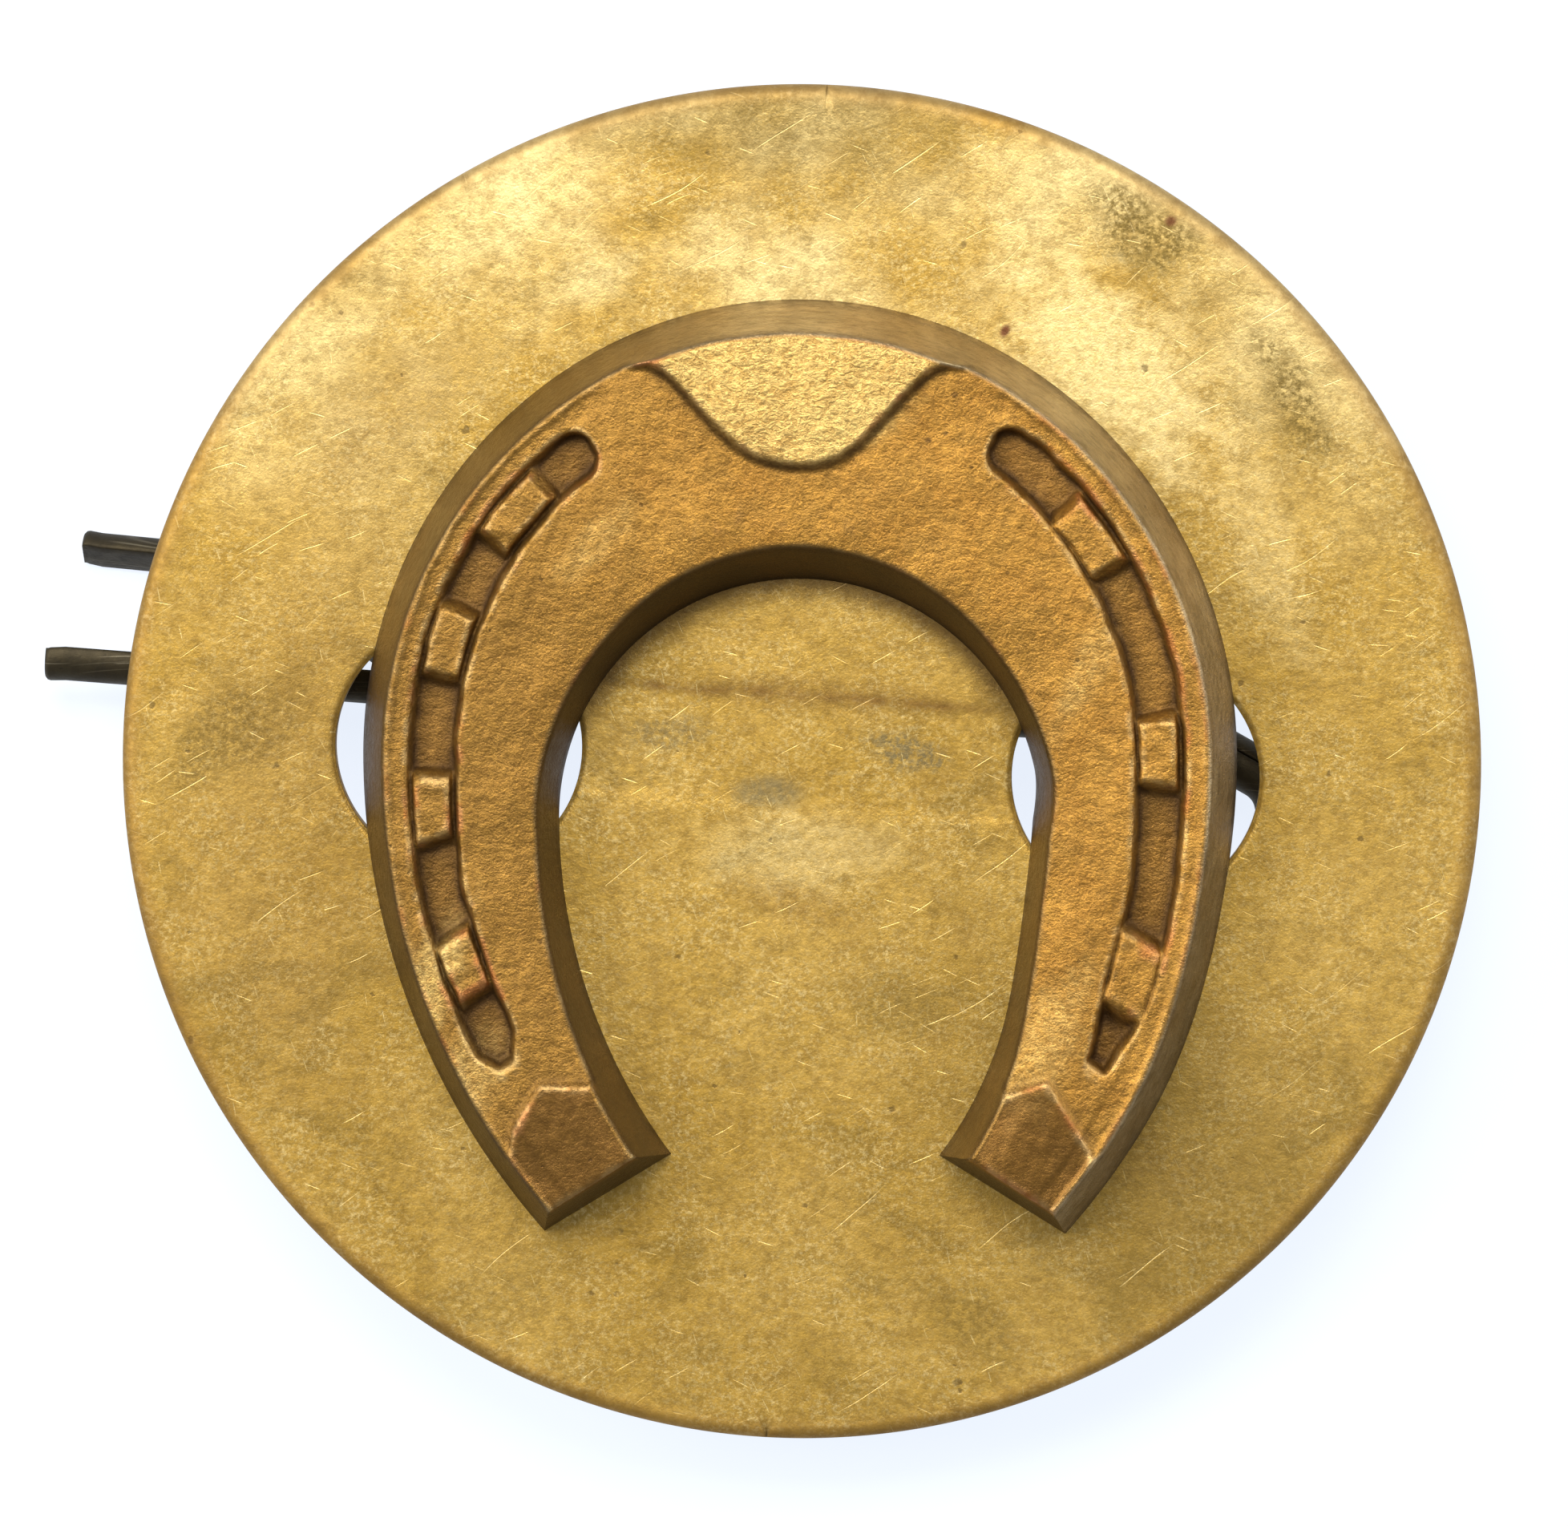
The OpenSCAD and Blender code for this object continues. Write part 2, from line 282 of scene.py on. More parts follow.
# an empty shader group whose first input is the place in millimetres
def newGroup(name, **values):
    tree = bpy.data.node_groups.new(name, "ShaderNodeTree")
    for key, value in dict(Vector=(0.0, 0.0, 0.0), **values).items():
        kind = "NodeSocketVector" if isinstance(value, tuple) else "NodeSocketFloat"
        tree.interface.new_socket(key, in_out="INPUT", socket_type=kind).default_value = value
    return tree, {socket.name: Signal(socket) for socket in addNode(tree, "NodeGroupInput").outputs}


def closeGroup(tree, output, value):
    tree.interface.new_socket(output, in_out="OUTPUT", socket_type="NodeSocketFloat")
    addNode(tree, "NodeGroupOutput", {output: value})
    return tree


def useGroup(group, place, **values):
    return signal(place.tree, "ShaderNodeGroup", dict(Vector=place, **values), node_tree=group)


# fine orange-peel grain of struck metal: coarse and fine noise added
def buildGrain():
    tree, ins = newGroup("struckGrain", Size=0.5, Mix=0.5)
    unit = perSize(ins["Vector"], ins["Size"])
    coarse = noise(unit, 0.55, 2.0, 0.5)
    fine = noise(unit, 2.1, 3.0, 0.65)
    return closeGroup(tree, "Height", fine * ins["Mix"] + coarse)


# short straight scratches: long thin cells, each with its own place, kept by chance
def buildScratches():
    tree, ins = newGroup("strayScratches", Turn=0.0, Length=6.0, Spacing=0.8, Share=0.3, Width=0.05, Seed=0.0)
    turned = turnedZ(ins["Vector"], ins["Turn"])
    x, y, _ = split(turned)
    sway = noise(turned, 0.12, 1.0) * 2.4
    along = x / ins["Length"] + ins["Seed"]
    place = joined(along, (y + sway) / ins["Spacing"], ins["Seed"])
    cell = addNode(tree, "ShaderNodeTexVoronoi", {"Vector": place, "Scale": 1.0}, voronoi_dimensions="2D")
    gapX, gapY, _ = split(vectorCalc("SUBTRACT", place, Signal(cell.outputs["Position"])))
    line = calc("SUBTRACT", 1.0, abs(gapY) * ins["Spacing"] / ins["Width"], clamp=True)
    reach = remap(abs(gapX), 0.42, 0.15)
    chance = split(Signal(cell.outputs["Color"]), "Color")
    kept = calc("LESS_THAN", chance[0], ins["Share"])
    return closeGroup(tree, "Mask", line * reach * (kept * chance[1]))


# patches of tarnish: slow noise broken up by quick noise at its edges
def buildTarnish():
    tree, ins = newGroup("tarnishPatches", Size=8.0, Cover=0.5, Edge=0.12, Broken=0.3, Seed=0.0)
    place = moved(ins["Vector"], joined(ins["Seed"], ins["Seed"], 0.0))
    cloud = noise(perSize(place, ins["Size"]), 1.0, 3.0, 0.6, 0.4)
    crumbs = (noise(place, 1.6, 4.0, 0.7) - 0.5) * ins["Broken"]
    rise = (cloud + crumbs - (1.0 - ins["Cover"])) / ins["Edge"]
    return closeGroup(tree, "Mask", calc("ADD", rise, 0.5, clamp=True))


# scattered specks: round cells kept by chance, each with its own size
def buildSpecks():
    tree, ins = newGroup("scatteredSpecks", Spacing=1.0, Size=0.1, Share=0.3, Seed=0.0)
    place = moved(ins["Vector"], joined(ins["Seed"], 0.0, 0.0))
    wobble = moved(noise(place, 3.0, 2.0, 0.5, pick="Color"), (-0.5,) * 3)
    place = moved(place, scaled(wobble, (0.35,) * 3))
    cell = addNode(tree, "ShaderNodeTexVoronoi", {"Vector": perSize(place, ins["Spacing"]), "Scale": 1.0})
    chance = split(Signal(cell.outputs["Color"]), "Color")
    reach = ins["Size"] * chance[1] * 1.6
    away = Signal(cell.outputs["Distance"]) * ins["Spacing"]
    spot = calc("MULTIPLY", 1.0 - away / reach, 2.2, clamp=True)
    return closeGroup(tree, "Mask", spot * calc("LESS_THAN", chance[0], ins["Share"]))


# one stain: an ellipse with a ragged, crumbling edge
def buildStain():
    tree, ins = newGroup("raggedStain", Centre=(0.0, 0.0, 0.0), Turn=0.0, Long=3.0, Short=1.5, Ragged=0.5,
                         Grit=0.5)
    x, y, _ = split(turnedZ(vectorCalc("SUBTRACT", ins["Vector"], ins["Centre"]), ins["Turn"]))
    u, v = x / ins["Long"], y / ins["Short"]
    away = calc("SQRT", u * u + v * v)
    edge = (noise(ins["Vector"], 0.55, 4.0, 0.65) - 0.5) * ins["Ragged"]
    near = remap(away + edge * 2.0, 1.15, 0.35)
    grit = remap(noise(ins["Vector"], 3.2, 3.0, 0.7), 0.36, 0.62)
    broken = 1.0 - ins["Grit"] * (1.0 - grit)
    return closeGroup(tree, "Mask", calc("MULTIPLY", near, broken, clamp=True))


grainGroup = buildGrain()
scratchGroup = buildScratches()
tarnishGroup = buildTarnish()
speckGroup = buildSpecks()
stainGroup = buildStain()
print("shared effects built")


def stainAt(place, x, y, z, turn, long, short, ragged, grit):
    return useGroup(stainGroup, place, Centre=(x, y, z), Turn=math.radians(-turn), Long=long, Short=short,
                    Ragged=ragged, Grit=grit)


grainMiddle = 0.8             # about the mean height of the grain


# a roughness that the grain varies a little to both sides
def grainRough(settings, grain):
    return settings["roughness"] + (grain - grainMiddle) * settings["grainRough"]


shoeMasks = ("edge", "cornerDirtAndShade", "floor", "wall", "clip", "pad", "grey")
shoeFinish = dict(
    bright=tone(224, 194, 118),   # freshest metal on the clip, and the painted highlights on the web
    bare=tone(178, 133, 56),      # rubbed brass
    warm=tone(148, 105, 39),      # brown-gold web
    olive=tone(118, 88, 36),      # duller patches
    brown=tone(86, 58, 22),       # patina of the hollows
    shadedWall=tone(76, 58, 28),       # darker colour of the walls: patina with painted shade
    grey=tone(156, 138, 104),     # painted reflection: pale grey on the toe and right wall
    glint=tone(230, 198, 136),    # rubbed arrises with a painted highlight along them
    black=tone(52, 34, 16),       # dirt in the corners with painted shade there, and the black of dots and specks
    red=tone(150, 84, 44),        # copper blush along the arrises
    roughness=0.39, grainRough=0.2, rubRough=0.06, dirtRough=0.2, metallic=0.8,
    bumpStrength=0.8, bumpDepth=0.00006, speckPit=0.5, wrinkleHeight=0.16, clipHeight=0.14, padCalm=0.5,
    faceZ=3.4,
    grain=dict(Size=0.2, Mix=0.8),
    patches=dict(Size=3.4, Cover=0.5, Edge=0.35, Broken=0.6, Seed=7.0),
    dull=dict(Size=1.5, Cover=0.46, Edge=0.25, Broken=0.8, Seed=31.0),
    specks=dict(Spacing=0.7, Size=0.085, Share=0.16, Seed=3.0),
    # how strongly each coat covers
    cover=dict(patches=0.7, dull=0.5, left=0.7, dots=0.8, wrinkle=0.2, clip=0.3, clipWrinkle=0.34, pad=0.68,
               floor=0.5, crumbs=0.42, streak=0.5, specks=0.5, wearAndGlint=0.2, blush=0.55),
    # x, y, turn in degrees, half length, half width and strength of the painted highlights on the web
    paintedHighlights=[(-15.4, -9.2, 66, 4.6, 1.1, 0.55), (-13.4, -12.4, 60, 2.4, 1.6, 0.35),
            (10.4, -11.4, 68, 3.8, 1.6, 0.3), (12.2, 4.6, 66, 3.6, 0.9, 0.25),
            (-8.4, 9.6, 40, 2.6, 1.0, 0.2), (2.4, 14.6, 20, 3.0, 1.3, 0.45)],
    # x, y and half width of single black dots
    dots=[(6.6, 15.8, 0.16), (6.2, 14.2, 0.13), (5.5, 13.9, 0.17), (7.3, 12.8, 0.1), (-9.8, 12.9, 0.16),
          (8.8, 8.4, 0.13)],
)


# brass of the struck shoe: mottled web, painted highlights, brown hollows, walls of patina with painted shade
# and a painted reflection, dirt with painted shade in the corners, and wear with a painted highlight along the
# arrises
def buildShoeBrass():
    s, cover = shoeFinish, shoeFinish["cover"]
    material, body, place = newMaterial("shoeBrass")
    mask = {k: signal(place.tree, "ShaderNodeAttribute", None, "Fac", attribute_name=k) for k in shoeMasks}
    grain = useGroup(grainGroup, place, **s["grain"])
    patches = useGroup(tarnishGroup, place, **s["patches"])
    dull = useGroup(tarnishGroup, place, **s["dull"])
    specks = useGroup(speckGroup, place, **s["specks"])
    color = layered(s["warm"], (patches * cover["patches"], s["bare"]), (dull * cover["dull"], s["olive"]),
                    (remap(split(place)[0], 0.0, -14.0, 0.0, cover["left"]), s["olive"]))
    # painted highlights: bright places on the web and its outer ledge
    for x, y, turn, long, short, strength in s["paintedHighlights"]:
        zone = stainAt(place, x, y, s["faceZ"], turn, long, short, 0.8, 0.6)
        color = layered(color, (zone * strength, s["bright"]))
    for x, y, size in s["dots"]:
        dot = stainAt(place, x, y, s["faceZ"], 0, size, size * 0.8, 0.6, 0.3)
        color = layered(color, (dot * cover["dots"], s["black"]))
    wrinkle = remap(noise(scaled(place, (1.0, 1.5, 1.0)), 2.0, 3.0, 0.65, 1.0), 0.36, 0.62)
    crumbs = 1.0 - remap(noise(place, 5.5, 4.0, 0.8), 0.38, 0.62)
    color = layered(color, (wrinkle * cover["wrinkle"], s["bare"]),
                    (mask["clip"] * (cover["clip"] + wrinkle * cover["clipWrinkle"]), s["bright"]),
                    (mask["pad"] * cover["pad"], s["brown"]), (mask["floor"] * cover["floor"], s["brown"]),
                    (crumbs * cover["crumbs"], s["brown"]))
    # walls: dark patina with painted shade, under a painted pale reflection on the toe and right walls that
    # streaks across their height
    streak = noise(scaled(place, (1.0, 1.0, 3.0)), 1.4, 5.0, 0.75)
    wallShadeAndReflection = layered(s["shadedWall"], (mask["grey"] * remap(noise(place, 0.5), 0.3, 0.7, 0.6, 1.0), s["grey"]),
                   (remap(streak, 0.4, 0.66, 0.0, cover["streak"]), s["shadedWall"]))
    wallShade = mask["wall"] * remap(noise(place, 0.35), 0.3, 0.7, 0.85, 1.0)
    # dirt and painted shade in the corners and creases, and a painted shadow below the clip's step
    dirtAndShade = mask["cornerDirtAndShade"] * remap(noise(place, 1.1), 0.25, 0.6, 0.5, 1.0)
    # rubbed arrises, and a painted highlight along them
    wearAndGlint = mask["edge"] * remap(noise(place, 1.2, 2.0, 0.6), 0.38, 0.62)
    blush = mask["edge"] * remap(noise(moved(place, (9.0, 4.0, 0.0)), 0.4), 0.5, 0.64)
    color = layered(color, (wallShade, wallShadeAndReflection), (dirtAndShade, s["black"]), (specks * cover["specks"], s["black"]),
                    (wearAndGlint * cover["wearAndGlint"], s["glint"]), (blush * cover["blush"], s["red"]))
    rough = grainRough(s, grain) - wearAndGlint * s["rubRough"] + dirtAndShade * s["dirtRough"]
    height = grain - specks * s["speckPit"] + wrinkle * (s["wrinkleHeight"] + mask["clip"] * s["clipHeight"])
    finishMetal(body, s, color, rough, height * (1.0 - mask["pad"] * s["padCalm"]))
    return material


plateFinish = dict(
    bright=tone(230, 208, 146), gold=tone(194, 158, 78), plain=tone(166, 131, 50), olive=tone(106, 86, 36),
    brown=tone(110, 78, 34), shade=tone(118, 90, 36), grey=tone(112, 100, 68), rust=tone(92, 42, 24),
    # the tone 64, 42, 20 is a painted shadow along the foot of the shoe's arch
    archShadowTone=tone(64, 42, 20), witness=tone(122, 88, 40), dust=tone(110, 84, 36), dark=tone(84, 66, 34),
    freckle=tone(92, 44, 24), scratch=tone(246, 222, 156),
    roughness=0.4, grainRough=0.22, blotRough=0.08, cutRough=0.08, rimRough=0.25, metallic=0.75,
    bumpStrength=0.4, bumpDepth=0.00005, markPit=0.45, archShadowIn=1.2, archShadowOut=(0.8, 1.4),
    bandTilt=0.074, witnessY=3.35, witnessHalf=0.36, archR=10.1, archDrop=2.2,
    grain=dict(Size=0.22, Mix=0.8),
    clouds=dict(Size=9.0, Cover=0.52, Edge=0.4, Broken=0.45, Seed=2.0),
    blots=dict(Size=2.6, Cover=0.42, Edge=0.25, Broken=0.7, Seed=15.0),
    darkSpecks=dict(Spacing=1.3, Size=0.14, Share=0.3, Seed=0.0),
    dustSpecks=dict(Spacing=0.5, Size=0.075, Share=0.4, Seed=20.0),
    freckles=dict(Spacing=7.0, Size=0.3, Share=0.5, Seed=4.0),
    # how strongly each coat covers
    cover=dict(clouds=0.8, topHighlight=0.8, blots=0.3, mottle=0.42, smudge=0.36, crumbs=0.4, witness=0.75, dust=0.3,
               dark=0.6, freckles=0.75, cuts=0.45, archShadow=0.75, rim=0.7),
    # turn, length, spacing, share, width and seed of the sets of scratches
    cuts=[(0.35, 1.1, 0.5, 0.1, 0.03, 3.0), (-0.5, 1.7, 0.7, 0.14, 0.024, 11.0),
          (1.25, 0.9, 0.6, 0.12, 0.03, 23.0), (-0.6, 4.5, 2.2, 0.22, 0.03, 37.0)],
    # x, y, turn in degrees, half length, half width, raggedness, grit, strength, colour name
    stains=[
        (-1.2, -1.1, 4, 1.9, 0.9, 0.5, 0.35, 0.75, "grey"),
        (4.6, 0.6, -12, 2.3, 0.9, 1.0, 0.95, 0.85, "grey"),
        (-5.6, 1.4, 0, 2.6, 0.9, 0.9, 0.9, 0.6, "grey"),
        (14.2, 22.6, -30, 3.6, 1.7, 0.9, 0.75, 0.95, "olive"),
        (20.6, 15.6, -62, 3.4, 1.3, 0.9, 0.85, 0.85, "olive"),
        (16.4, 19.5, -45, 5.5, 2.4, 0.9, 0.8, 0.12, "olive"),
        # painted highlight: brightens the upper right of the plate
        (13.0, 16.8, -42, 6.4, 3.2, 0.9, 0.4, 0.75, "bright"),
        (19.6, 9.0, -70, 5.0, 1.6, 0.9, 0.6, 0.3, "bright"),
        (-14.5, 16.0, 48, 6.0, 2.0, 0.9, 0.5, 0.15, "bright"),
        (0.4, -3.6, 0, 5.5, 2.0, 0.9, 0.5, 0.3, "bright"),
        (4.2, -10.2, -25, 3.2, 1.6, 0.9, 0.6, 0.5, "olive"),
        (7.2, -23.4, -40, 3.4, 1.5, 1.0, 0.8, 0.5, "olive"),
        (-24.0, 1.4, 30, 4.2, 2.0, 0.9, 0.75, 0.7, "olive"),
        (-1.0, 26.8, 0, 10.0, 2.4, 0.7, 0.4, 0.6, "olive"),
        (-17.5, 14.5, 40, 5.0, 2.2, 0.9, 0.7, 0.3, "brown"),
        (0.0, -5.8, -15, 3.4, 1.0, 0.8, 0.6, 0.35, "brown"),
        (13.0, -15.5, -25, 5.2, 1.9, 0.9, 0.8, 0.4, "brown"),
        (-13.0, -22.5, 25, 5.2, 1.8, 0.9, 0.8, 0.3, "olive"),
        (1.6, 24.4, 8, 6.5, 1.6, 1.0, 0.75, 0.3, "olive"),
        # painted shade: darkens the lower right of the plate
        (15.0, -17.0, -35, 12.0, 8.0, 0.6, 0.25, 0.45, "olive"),
        (-21.0, -2.0, 80, 14.0, 6.0, 0.6, 0.25, 0.25, "brown"),
        (-8.6, 20.3, 30, 2.4, 1.1, 0.8, 0.5, 0.25, "bright"),
        (8.6, 18.3, 60, 0.36, 0.24, 0.2, 0.0, 0.9, "rust"),
        (15.5, 22.9, 20, 0.34, 0.28, 0.3, 0.0, 0.8, "rust"),
        (0.6, 3.1, -4, 7.5, 0.9, 0.5, 0.4, 0.35, "brown"),
    ],
)


# brass of the plate: clouds and blots of tarnish, a painted highlight towards the top, placed stains, two of
# them painted highlight and shade, scratches, and a painted shadow round the shoe's arch
def buildPlateBrass():
    s, cover = plateFinish, plateFinish["cover"]
    material, body, place = newMaterial("plateBrass")
    x, y, z = split(place)
    rim = signal(place.tree, "ShaderNodeAttribute", None, "Fac", attribute_name="rim")
    grain = useGroup(grainGroup, place, **s["grain"])
    clouds = useGroup(tarnishGroup, place, **s["clouds"])
    blots = useGroup(tarnishGroup, place, **s["blots"])
    front = remap(z, -0.7, -0.4)
    # painted highlight: the plate grows brighter towards the top
    topHighlight = remap(y, 4.0, 24.0) * remap(noise(place, 0.09, 3.0), 0.38, 0.6)
    smudge = noise(scaled(moved(place, (3.0, 1.0, 0.0)), (0.7, 1.3, 1.0)), 0.22, 5.0, 0.7, 0.8)
    crumbs = remap(noise(moved(place, (5.0, 3.0, 0.0)), 4.2, 4.0, 0.8), 0.46, 0.66, 0.0, cover["crumbs"])
    worn = remap(noise(moved(place, (1.0, 8.0, 0.0)), 0.3, 3.0, 0.6), 0.38, 0.62, 0.25, 1.0)
    color = layered(s["plain"], (clouds * cover["clouds"], s["gold"]), (topHighlight * cover["topHighlight"], s["bright"]),
                    (blots * cover["blots"], s["olive"]),
                    (remap(noise(place, 1.1, 5.0, 0.8), 0.42, 0.62, 0.0, cover["mottle"]), s["shade"]),
                    (remap(smudge, 0.52, 0.66, 0.0, cover["smudge"]), s["olive"]), (crumbs * worn, s["bright"]))
    for atX, atY, turn, long, short, ragged, grit, strength, name in s["stains"]:
        stain = stainAt(place, atX, atY, 0.0, turn, long, short, ragged, grit)
        color = layered(color, (stain * strength, s[name]))
    # witness line along the upper edge of the pressed band
    wave = y + x * s["bandTilt"] + noise(place, 0.2, 2.0) * 0.7
    mark = calc("SUBTRACT", 1.0, abs(wave - s["witnessY"]) / s["witnessHalf"], clamp=True)
    witness = mark * remap(abs(x), 9.5, 6.0) * remap(noise(place, 0.7), 0.3, 0.6) * front
    dark = useGroup(speckGroup, place, **s["darkSpecks"])
    dust = useGroup(speckGroup, place, **s["dustSpecks"])
    freckles = useGroup(speckGroup, place, **s["freckles"])
    color = layered(color, (witness * cover["witness"], s["witness"]), (dust * cover["dust"], s["dust"]),
                    (dark * cover["dark"], s["dark"]), (freckles * cover["freckles"], s["freckle"]))
    cuts = 0.0
    for turn, length, spacing, share, width, seed in s["cuts"]:
        one = useGroup(scratchGroup, place, Turn=turn, Length=length, Spacing=spacing, Share=share, Width=width,
                       Seed=seed)
        cuts = calc("MAXIMUM", one, cuts)
    # painted shadow on the plate along the foot of the shoe's arch
    archY = y + s["archDrop"]
    fromArch = calc("SQRT", x * x + archY * archY)
    archShadow = remap(fromArch, s["archR"] - s["archShadowIn"], s["archR"]) * remap(y, -1.0, 4.0)
    archShadow = archShadow * remap(fromArch, s["archR"] + s["archShadowOut"][1], s["archR"] + s["archShadowOut"][0]) * front
    color = layered(color, (cuts * cover["cuts"], s["scratch"]), (archShadow * cover["archShadow"], s["archShadowTone"]),
                    (rim * cover["rim"], s["brown"]))
    rough = grainRough(s, grain) + blots * s["blotRough"] - cuts * s["cutRough"] + rim * s["rimRough"]
    finishMetal(body, s, color, rough, grain - (dark + cuts) * s["markPit"])
    return material


# colours, metal and roughness of each drawn wire and of the braze
wireFinish = dict(
    pinWire=dict(light=tone(56, 49, 33), dark=tone(38, 33, 24), metallic=0.8, roughness=0.48, grainSize=0.3,
                 bumpDepth=0.00004),
    loopWire=dict(light=tone(168, 124, 62), dark=tone(84, 58, 30), metallic=0.9, roughness=0.38,
                  grainSize=0.35, bumpDepth=0.00003),
    brazeMetal=dict(light=tone(166, 158, 128), dark=tone(92, 78, 52), metallic=0.8, roughness=0.45,
                    grainSize=0.5, bumpDepth=0.0001),
)


# drawn wire: base colour with brown bloom, fine lines and small pits
def buildWire(name):
    s = dict(wireFinish[name], bumpStrength=0.5)
    material, body, place = newMaterial(name)
    grain = useGroup(grainGroup, place, Size=s["grainSize"], Mix=0.8)
    bloom = useGroup(tarnishGroup, place, Size=1.8, Cover=0.5, Edge=0.3, Broken=0.7, Seed=5.0)
    specks = useGroup(speckGroup, place, Spacing=0.45, Size=0.09, Share=0.35)
    draws = useGroup(scratchGroup, place, Turn=0.05, Length=5.0, Spacing=0.16, Share=0.5, Width=0.03, Seed=8.0)
    color = layered(s["light"], (bloom * 0.6, s["dark"]), (specks * 0.6, s["dark"]),
                    (draws * 0.22, tone(196, 186, 160)))
    finishMetal(body, s, color, s["roughness"] + (bloom + grain) * 0.08, grain - specks * 0.6)
    return material


shoeBrass = buildShoeBrass()
plateBrass = buildPlateBrass()
pinWire, loopWire, brazeMetal = (buildWire(name) for name in wireFinish)
print("metals built")


shoeLow, shoeHigh = boxInMm("horseshoe")
shoe = dict(
    halfWidth=shoeHigh[0], toeY=shoeHigh[1], heelDrop=-shoeLow[1], topZ=shoeHigh[2],
    shoulderY=0.4, quarterR=30.4, archR=10.1, archDrop=2.2, innerQuarterR=23.8, innerHeelDrop=16.4,
    webZ=3.4, outerLean=0.315, innerLean=0.26, archLean=0.2, wallT=1.0, hollowZ=1.8, heelLean=1.5,
    arris=0.2, innerArris=1.2, lip=0.04, ledge=0.055, dish=0.045, dishFrom=4.4, innerFall=0.06,
    clear=0.005, mmPerDegree=0.53, fullerMiddle=3.2, outerGrowth=0.45, innerGrowth=0.5, innerBulge=0.4,
    clipRise=0.56, clipHalfWidth=6.5, clipLowY=12.9, clipDepth=4.2, padRise=0.3,
    grooveDepth=0.85, grooveIn=2.1, nailTop=0.78, nailDimple=0.05,
    # start and end angle of each groove, its inner edge from the foot, length and least width of its heel end
    grooves=[(-33.5, -118.6, 4.2, 1.0, 0.35), (32.0, 118.5, 4.25, 3.4, 0.45)],
    # toe end and heel end angle, outer and inner edge of each nail head, turn
    nails=[(-44.0, -54.6, 2.35, 3.8, 2), (-67.0, -76.5, 2.35, 3.85, -2), (-91.6, -97.8, 2.35, 3.85, 1),
           (-107.5, -112.2, 2.4, 3.9, -3), (48.2, 58.6, 2.5, 4.05, -2), (83.4, 91.9, 2.5, 4.0, 1),
           (107.3, 113.2, 2.2, 4.1, -1)],
    # corners of the left and the right heel pad: angle and distance in from the foot
    pads=[[(121.0, 3.95), (123.7, 6.1), (126.3, 6.3), (130.2, 6.2), (130.3, 0.8), (124.8, 0.86), (122.6, 1.9)],
          [(121.1, 4.7), (125.6, 6.6), (130.1, 6.6), (130.2, 0.8), (124.3, 0.9)]],
    stationCount=720, denseColumns=63, plainColumns=8, denseTo=7.3, wallRows=8, arrisRows=5,
)


# a foot line over angle a: a quarter of an ellipse round the toe, then a wide arc down to the heel
def footLine(a, t, halfWidth, toeReach, wideR, centreY, growth):
    toe = t <= np.pi / 2
    x = np.where(toe, halfWidth * np.sin(t), halfWidth - wideR * (1 - np.sin(t)))
    x = x + np.where(a > 0, growth, 0)                       # the right branch has its own line
    return np.stack([np.where(a < 0, -1.0, 1.0) * x, centreY + np.where(toe, toeReach, wideR) * np.cos(t)], -1)


# outer foot of the wall; the right heel stands a little further out
def outerEdge(a):
    s = shoe
    return footLine(a, np.radians(np.abs(a)), s["halfWidth"], s["toeY"] - s["shoulderY"], s["quarterR"],
                    s["shoulderY"], s["outerGrowth"] * ease(a, 98, 121))


heelA = math.degrees(math.acos((-shoe["heelDrop"] - shoe["shoulderY"]) / shoe["quarterR"]))
innerHeelA = math.degrees(math.acos((-shoe["innerHeelDrop"] + shoe["archDrop"]) / shoe["innerQuarterR"]))
lagCubic = (innerHeelA / heelA - 75 / 90) / (heelA ** 2 - 90 ** 2)
lagLinear = 75 / 90 - lagCubic * 90 ** 2


# inner foot: the arch's circle, then an arc to the heel, at an angle that lags behind the outer one
def innerEdge(a):
    s = shoe
    growth = s["innerGrowth"] * ease(a, 114, 131) - s["innerBulge"] * ease(a, 92, 109) * ease(a, 123, 109)
    return footLine(a, np.radians(np.abs(a) * (lagLinear + lagCubic * a * a)), s["archR"], s["archR"],
                    s["innerQuarterR"], -s["archDrop"], growth)


def branchWidth(a):
    return np.linalg.norm(innerEdge(a) - outerEdge(a), axis=-1)


# a point w millimetres in from the outer foot, on the line between the two feet, at height z
def across(a, w, z):
    o, i = outerEdge(a), innerEdge(a)
    p = o + (i - o) * (w / branchWidth(a))[..., None]
    return np.concatenate([p, np.broadcast_to(z, p.shape[:-1])[..., None]], -1)


def innerWallLean(a):
    return shoe["innerLean"] + shoe["archLean"] * np.maximum(0, np.cos(np.radians(a))) ** 2


# distance along the middle of the fuller, from the toe
arcAngles = np.linspace(-heelA, heelA, 4001)
arcPoints = across(arcAngles, np.full(arcAngles.shape, shoe["fullerMiddle"]), 0.0)
arcLength = np.concatenate([[0], np.cumsum(np.linalg.norm(np.diff(arcPoints, axis=0), axis=1))])
arcLength -= np.interp(0, arcAngles, arcLength)


def alongArc(a):
    return np.interp(a, arcAngles, arcLength)


# 0 outside the toe clip and 1 on it: the step follows a bell-shaped edge
def clipMask(x, y):
    s = shoe
    t = np.clip(np.abs(x) / s["clipHalfWidth"], 0, 1) ** 1.25
    edge = s["clipLowY"] + s["clipDepth"] * np.sin(np.pi / 2 * t) ** 2 + 0.05 * ripple(x, 0, 2.6, 5)
    steep = s["clipDepth"] / s["clipHalfWidth"] * 1.9 * np.sin(np.pi * t)
    return ease((y - edge) / np.sqrt(1 + steep ** 2), -0.34, 0.16)


